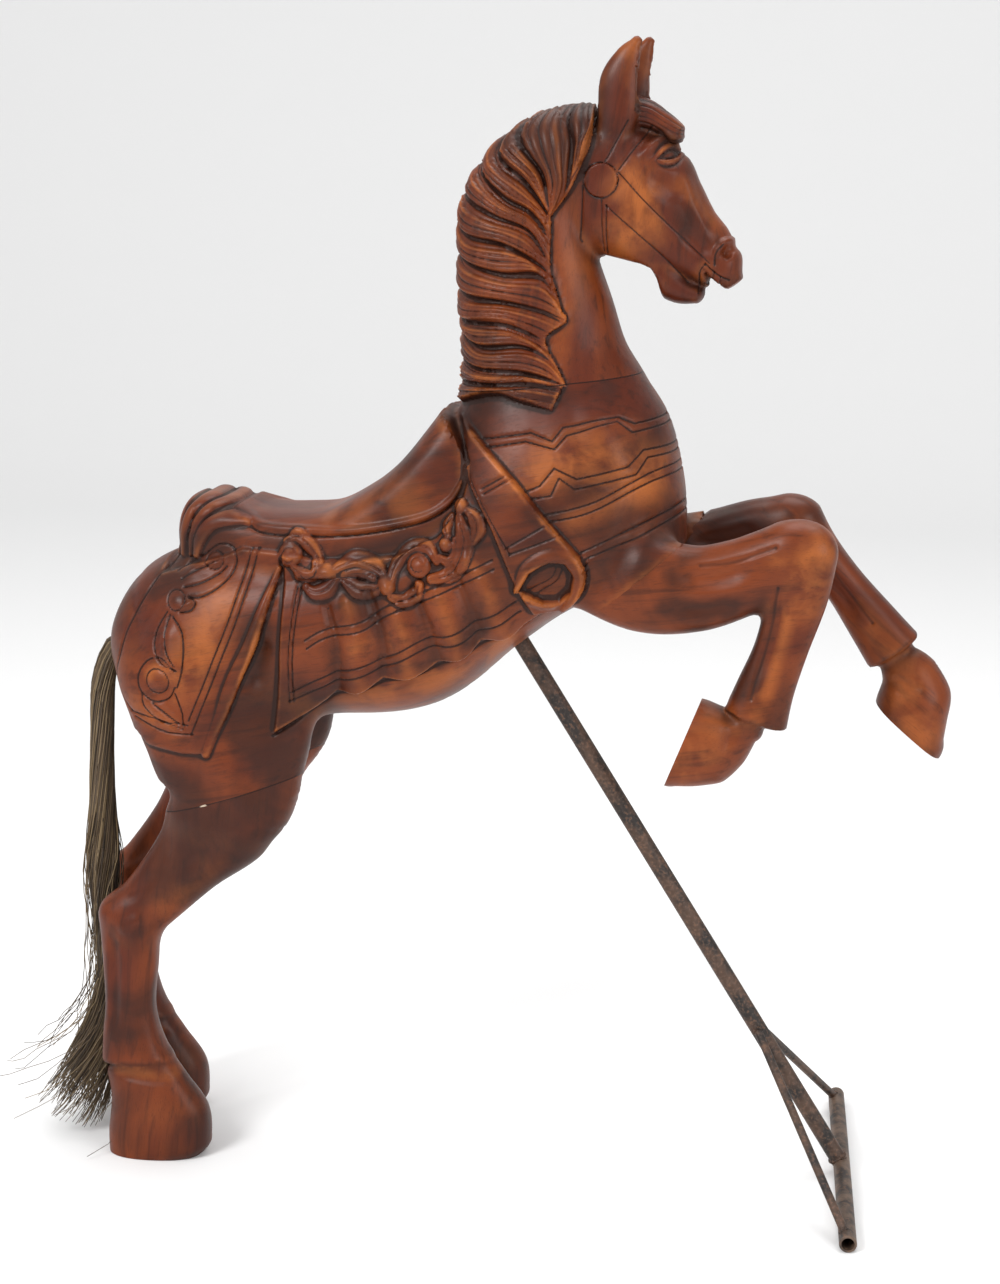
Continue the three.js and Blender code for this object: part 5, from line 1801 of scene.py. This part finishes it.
# %% Turned pieces and welds
PIPE, BORE, BRACE = 10.65, 7.9, 5.2  # radii
BELLY_ENTRY, FOOT_MID = np.array([72.0, 0, 668]), np.array([482.0, 0, PIPE])
SOCKET_DEPTH, FOOT_LENGTH, FOOT_TWIST = 60, 470, math.radians(4.4)
BRACE_TOP, BRACE_INSET = 197, 14  # where the braces leave the prop, and how far their feet are from the ends
ROUNDED = 0.6  # how far the outer edge at the end of a pipe is rounded
rising = (BELLY_ENTRY - FOOT_MID) / np.linalg.norm(BELLY_ENTRY - FOOT_MID)


def on_foot(distance):
    return FOOT_MID + distance * np.array([-math.sin(FOOT_TWIST), math.cos(FOOT_TWIST), 0])


def rings_between(a, b, profile, sides=40):
    """Rings round the axis from a to b; the profile is a row of [share of the way, radius]."""
    axis = (b - a) / np.linalg.norm(b - a)
    u = np.cross(axis, [0.31, 0.87, 0.38])
    u /= np.linalg.norm(u)
    v = np.cross(axis, u)
    turn = np.linspace(0, 2 * np.pi, sides, endpoint=False)[:, None]
    return [a + (b - a) * s + r * (np.cos(turn) * u + np.sin(turn) * v) for s, r in profile]


def ring_faces(rings, offset):
    """Faces of a closed skin over rings of points."""
    sides = len(rings[0])
    faces = [[offset + i for i in reversed(range(sides))]]
    for r in range(len(rings) - 1):
        a = offset + r * sides
        b = a + sides
        faces += [[a + i, a + (i + 1) % sides, b + (i + 1) % sides, b + i] for i in range(sides)]
    end = offset + (len(rings) - 1) * sides
    return faces + [[end + i for i in range(sides)]]


def lathe(a, b, profile, sides=40, closed=False):
    """Points and faces of a turned piece; `closed` joins its last ring to its first, as round a bore."""
    rings = rings_between(a, b, profile, sides)
    faces = ring_faces(rings, 0)
    if closed:
        last = (len(rings) - 1) * sides
        faces = faces[1:-1] + [[last + i, last + (i + 1) % sides, (i + 1) % sides, i] for i in range(sides)]
    return np.concatenate(rings), faces


def pipe_profile(length, bore, step=12):
    """The outside from end to end with small burrs, then the bore back."""
    count = max(2, int(length / step))
    edge = ROUNDED / length
    middle = [(i / count, PIPE) for i in range(1, count)]
    outside = [(0, PIPE - ROUNDED), (edge, PIPE), *middle, (1 - edge, PIPE), (1, PIPE - ROUNDED)]
    return outside + [(1, bore), (1 - 4 * edge, bore - 0.1), (4 * edge, bore - 0.1), (0, bore)]


def weld(centre, axis, radius, seed):
    """A lumpy bead of weld round an axis."""
    rng = np.random.default_rng(seed)
    count, sides = 56, 8
    u = np.cross(axis, [0.3, 0.9, 0.1])
    u /= np.linalg.norm(u)
    v = np.cross(axis, u)
    lump = 1 + 0.22 * np.sin(np.arange(count) * 2.1) + rng.uniform(-0.12, 0.12, count)
    points, faces = [], []
    for i in range(count):
        turn = 2 * math.pi * i / count
        out = math.cos(turn) * u + math.sin(turn) * v
        for k in range(sides):
            bend = 2 * math.pi * k / sides
            bead = 2.6 * lump[i] * (math.cos(bend) * out + math.sin(bend) * axis)
            points.append(centre + out * radius + bead)
            a, b = i * sides, (i + 1) % count * sides
            faces.append([a + k, a + (k + 1) % sides, b + (k + 1) % sides, b + k])
    return np.array(points), faces


print("the prop rises", round(math.degrees(math.asin(rising[2])), 1), "degrees from the ground")

# %% The prop, its foot and its braces
def steel_piece(name, parts, nodes):
    """One object from several closed skins, each with its faces turned out."""
    body = bmesh.new()
    for points, faces in parts:
        verts = [body.verts.new(p * MM) for p in points]
        made = [body.faces.new([verts[i] for i in face]) for face in faces]
        bmesh.ops.recalc_face_normals(body, faces=made)
    mesh = bpy.data.meshes.new(name)
    body.to_mesh(mesh)
    body.free()
    mesh.shade_smooth()
    mesh.set_sharp_from_angle(angle=math.radians(40))
    obj = bpy.data.objects.new(name, mesh)
    bpy.context.collection.objects.link(obj)
    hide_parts(*nodes)
    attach(obj, "root")
    print(f"{name}: {len(mesh.polygons)} faces")
    return obj


rod_foot = FOOT_MID + rising * (PIPE * 0.4)
rod_top = BELLY_ENTRY + rising * SOCKET_DEPTH
fork = FOOT_MID + (BELLY_ENTRY - FOOT_MID) * (BRACE_TOP - PIPE) / (BELLY_ENTRY[2] - PIPE)
rod_length = np.linalg.norm(rod_top - rod_foot)
rod = steel_piece("rod", [
    lathe(rod_foot, rod_top, pipe_profile(rod_length, BORE), closed=True),
    weld(FOOT_MID + rising * PIPE * 1.02, rising, PIPE - 0.5, 5),
], ["prop_rod"])
foot = steel_piece("foot", [
    lathe(on_foot(-FOOT_LENGTH / 2), on_foot(FOOT_LENGTH / 2), pipe_profile(FOOT_LENGTH, BORE), closed=True),
], ["foot_pipe"])
braces = []
for hand, name in ((-1, "brace_near"), (1, "brace_far")):
    end = on_foot(hand * (FOOT_LENGTH / 2 - BRACE_INSET))
    way = (end - fork) / np.linalg.norm(end - fork)
    a, b = fork + way * PIPE * 0.6, end - way * PIPE * 0.5
    profile = [(s, BRACE) for s in np.linspace(0, 1, 24)]
    braces.append(steel_piece("welded_" + name, [
        lathe(a, b, profile, 24),
        weld(end - way * PIPE * 1.0, way, BRACE - 0.6, 7),
        weld(fork + way * PIPE * 1.5, way, BRACE - 0.6, 9),
    ], [name]))

# %% Rusted steel
STEEL = {
    "black": (0.018, 0.013, 0.011, 1),
    "brown": (0.066, 0.034, 0.021, 1),
    "rust": (0.15, 0.066, 0.03, 1),
    "scale": (0.012, 0.010, 0.009, 1),
    "dust": (0.17, 0.115, 0.08, 1),
}


def rusty_steel(name, dusty):
    made, t, where, shader = fresh_material(name)
    broad, fine = noise(t, where, 38.0, 5.0, 0.3), noise(t, where, 260.0, 4.0)
    colour = mix(t, between(t, broad, 0.38, 0.62), STEEL["black"], STEEL["brown"])
    colour = mix(t, t.math("MULTIPLY", between(t, fine, 0.52, 0.7), 0.6), colour, STEEL["rust"])
    spots = between(t, noise(t, where, 95.0, 3.0), 0.6, 0.72)
    colour = mix(t, t.math("MULTIPLY", spots, 0.4), colour, STEEL["scale"])
    colour = mix(t, t.math("MULTIPLY", dusty, between(t, broad, 0.3, 0.7)), colour, STEEL["dust"])
    t.links.new(colour, shader.inputs["Base Color"])
    t.links.new(t.math("ADD", 0.42, t.math("MULTIPLY", fine, 0.3)), shader.inputs["Roughness"])
    t.links.new(t.math("MULTIPLY", between(t, fine, 0.6, 0.4), 0.35), shader.inputs["Metallic"])
    height = t.math("ADD", t.math("MULTIPLY", fine, 0.0004), t.math("MULTIPLY", broad, 0.0005))
    bump = t.add("ShaderNodeBump", {"Height": height, "Strength": 0.6, "Distance": 1.0})
    t.links.new(bump, shader.inputs["Normal"])
    return made


bare, dusty = rusty_steel("rusty_steel", 0.08), rusty_steel("dusty_steel", 0.6)
for obj in (rod, *braces):
    obj.data.materials.append(bare)
foot.data.materials.append(dusty)
print("steel:", bare.name, dusty.name)

# %% [markdown]
# ## Floor, light and camera
# The horse stands on a plain pale floor that rolls up into a backdrop. Large soft lights stand left, right
# and above, and the camera looks from a little before the near side and a little above the back.

# %% Stage
def sweep_backdrop():
    """A floor that curves up behind the horse."""
    turn = np.linspace(0, math.pi / 2, 10)
    profile = [(-9.0, 0.0)] + [(5 + 2 * math.sin(a), 2 - 2 * math.cos(a)) for a in turn] + [(7.0, 7.0)]
    points = [(x, y, z - 0.0004) for y, z in profile for x in (-12, 12)]
    faces = [[2 * i, 2 * i + 1, 2 * i + 3, 2 * i + 2] for i in range(len(profile) - 1)]
    obj = bpy.data.objects.new("floor", plain_mesh("floor", np.array(points) / MM, faces))
    bpy.context.collection.objects.link(obj)
    obj.data.shade_smooth()
    made, t, where, shader = fresh_material("pale_floor")
    shader.inputs["Base Color"].default_value = (0.86, 0.86, 0.86, 1)
    shader.inputs["Roughness"].default_value = 0.9
    obj.data.materials.append(made)
    obj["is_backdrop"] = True


def soft_light(name, place, target, size, power):
    data = bpy.data.lights.new(name, "AREA")
    data.shape, data.size, data.energy = "SQUARE", size, power
    obj = bpy.data.objects.new(name, data)
    obj.location = place
    obj.rotation_euler = (Vector(target) - Vector(place)).to_track_quat("-Z", "Y").to_euler()
    bpy.context.collection.objects.link(obj)


sweep_backdrop()
LIGHTS = [  # name, place, target, size in metres, power in watts
    ("key", (-2.2, -3.4, 3.6), (0, 0, 0.7), 1.6, 165),
    ("fill", (3.4, -2.6, 2.0), (0, 0, 0.8), 2.0, 60),
    ("top", (0.4, 0.8, 4.2), (0, 0, 0.8), 2.4, 75),
]
for light in LIGHTS:
    soft_light(*light)
world = bpy.data.worlds.new("studio")
bpy.context.scene.world = world
world.use_nodes = True
world.node_tree.nodes["Background"].inputs["Color"].default_value = (1, 1, 1, 1)
world.node_tree.nodes["Background"].inputs["Strength"].default_value = 0.75
bpy.context.scene.view_settings.view_transform = "Standard"
print("lights:", len(LIGHTS))

# %% Camera
CAMERA_TURN, CAMERA_RISE, CAMERA_AWAY = math.radians(10), math.radians(12), 3.2
TARGET = Vector((0.04, 0, 0.6745))
LENS, SENSOR = 71.8, 36
back = Vector((math.sin(CAMERA_TURN) * math.cos(CAMERA_RISE), -math.cos(CAMERA_TURN) * math.cos(CAMERA_RISE),
               math.sin(CAMERA_RISE)))
camera = bpy.data.objects.new("camera", bpy.data.cameras.new("camera"))
bpy.context.collection.objects.link(camera)
camera.data.lens, camera.data.sensor_width = LENS, SENSOR
camera.location = TARGET + CAMERA_AWAY * back
camera.rotation_euler = (-back).to_track_quat("-Z", "Y").to_euler()
bpy.context.scene.camera = camera
print("camera at", [round(v, 2) for v in camera.location])

# %% Sizes
bpy.context.view_layer.update()
looks_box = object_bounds()
print("box:", [[round(x, 4) for x in v] for v in (*cad_box, *looks_box)])
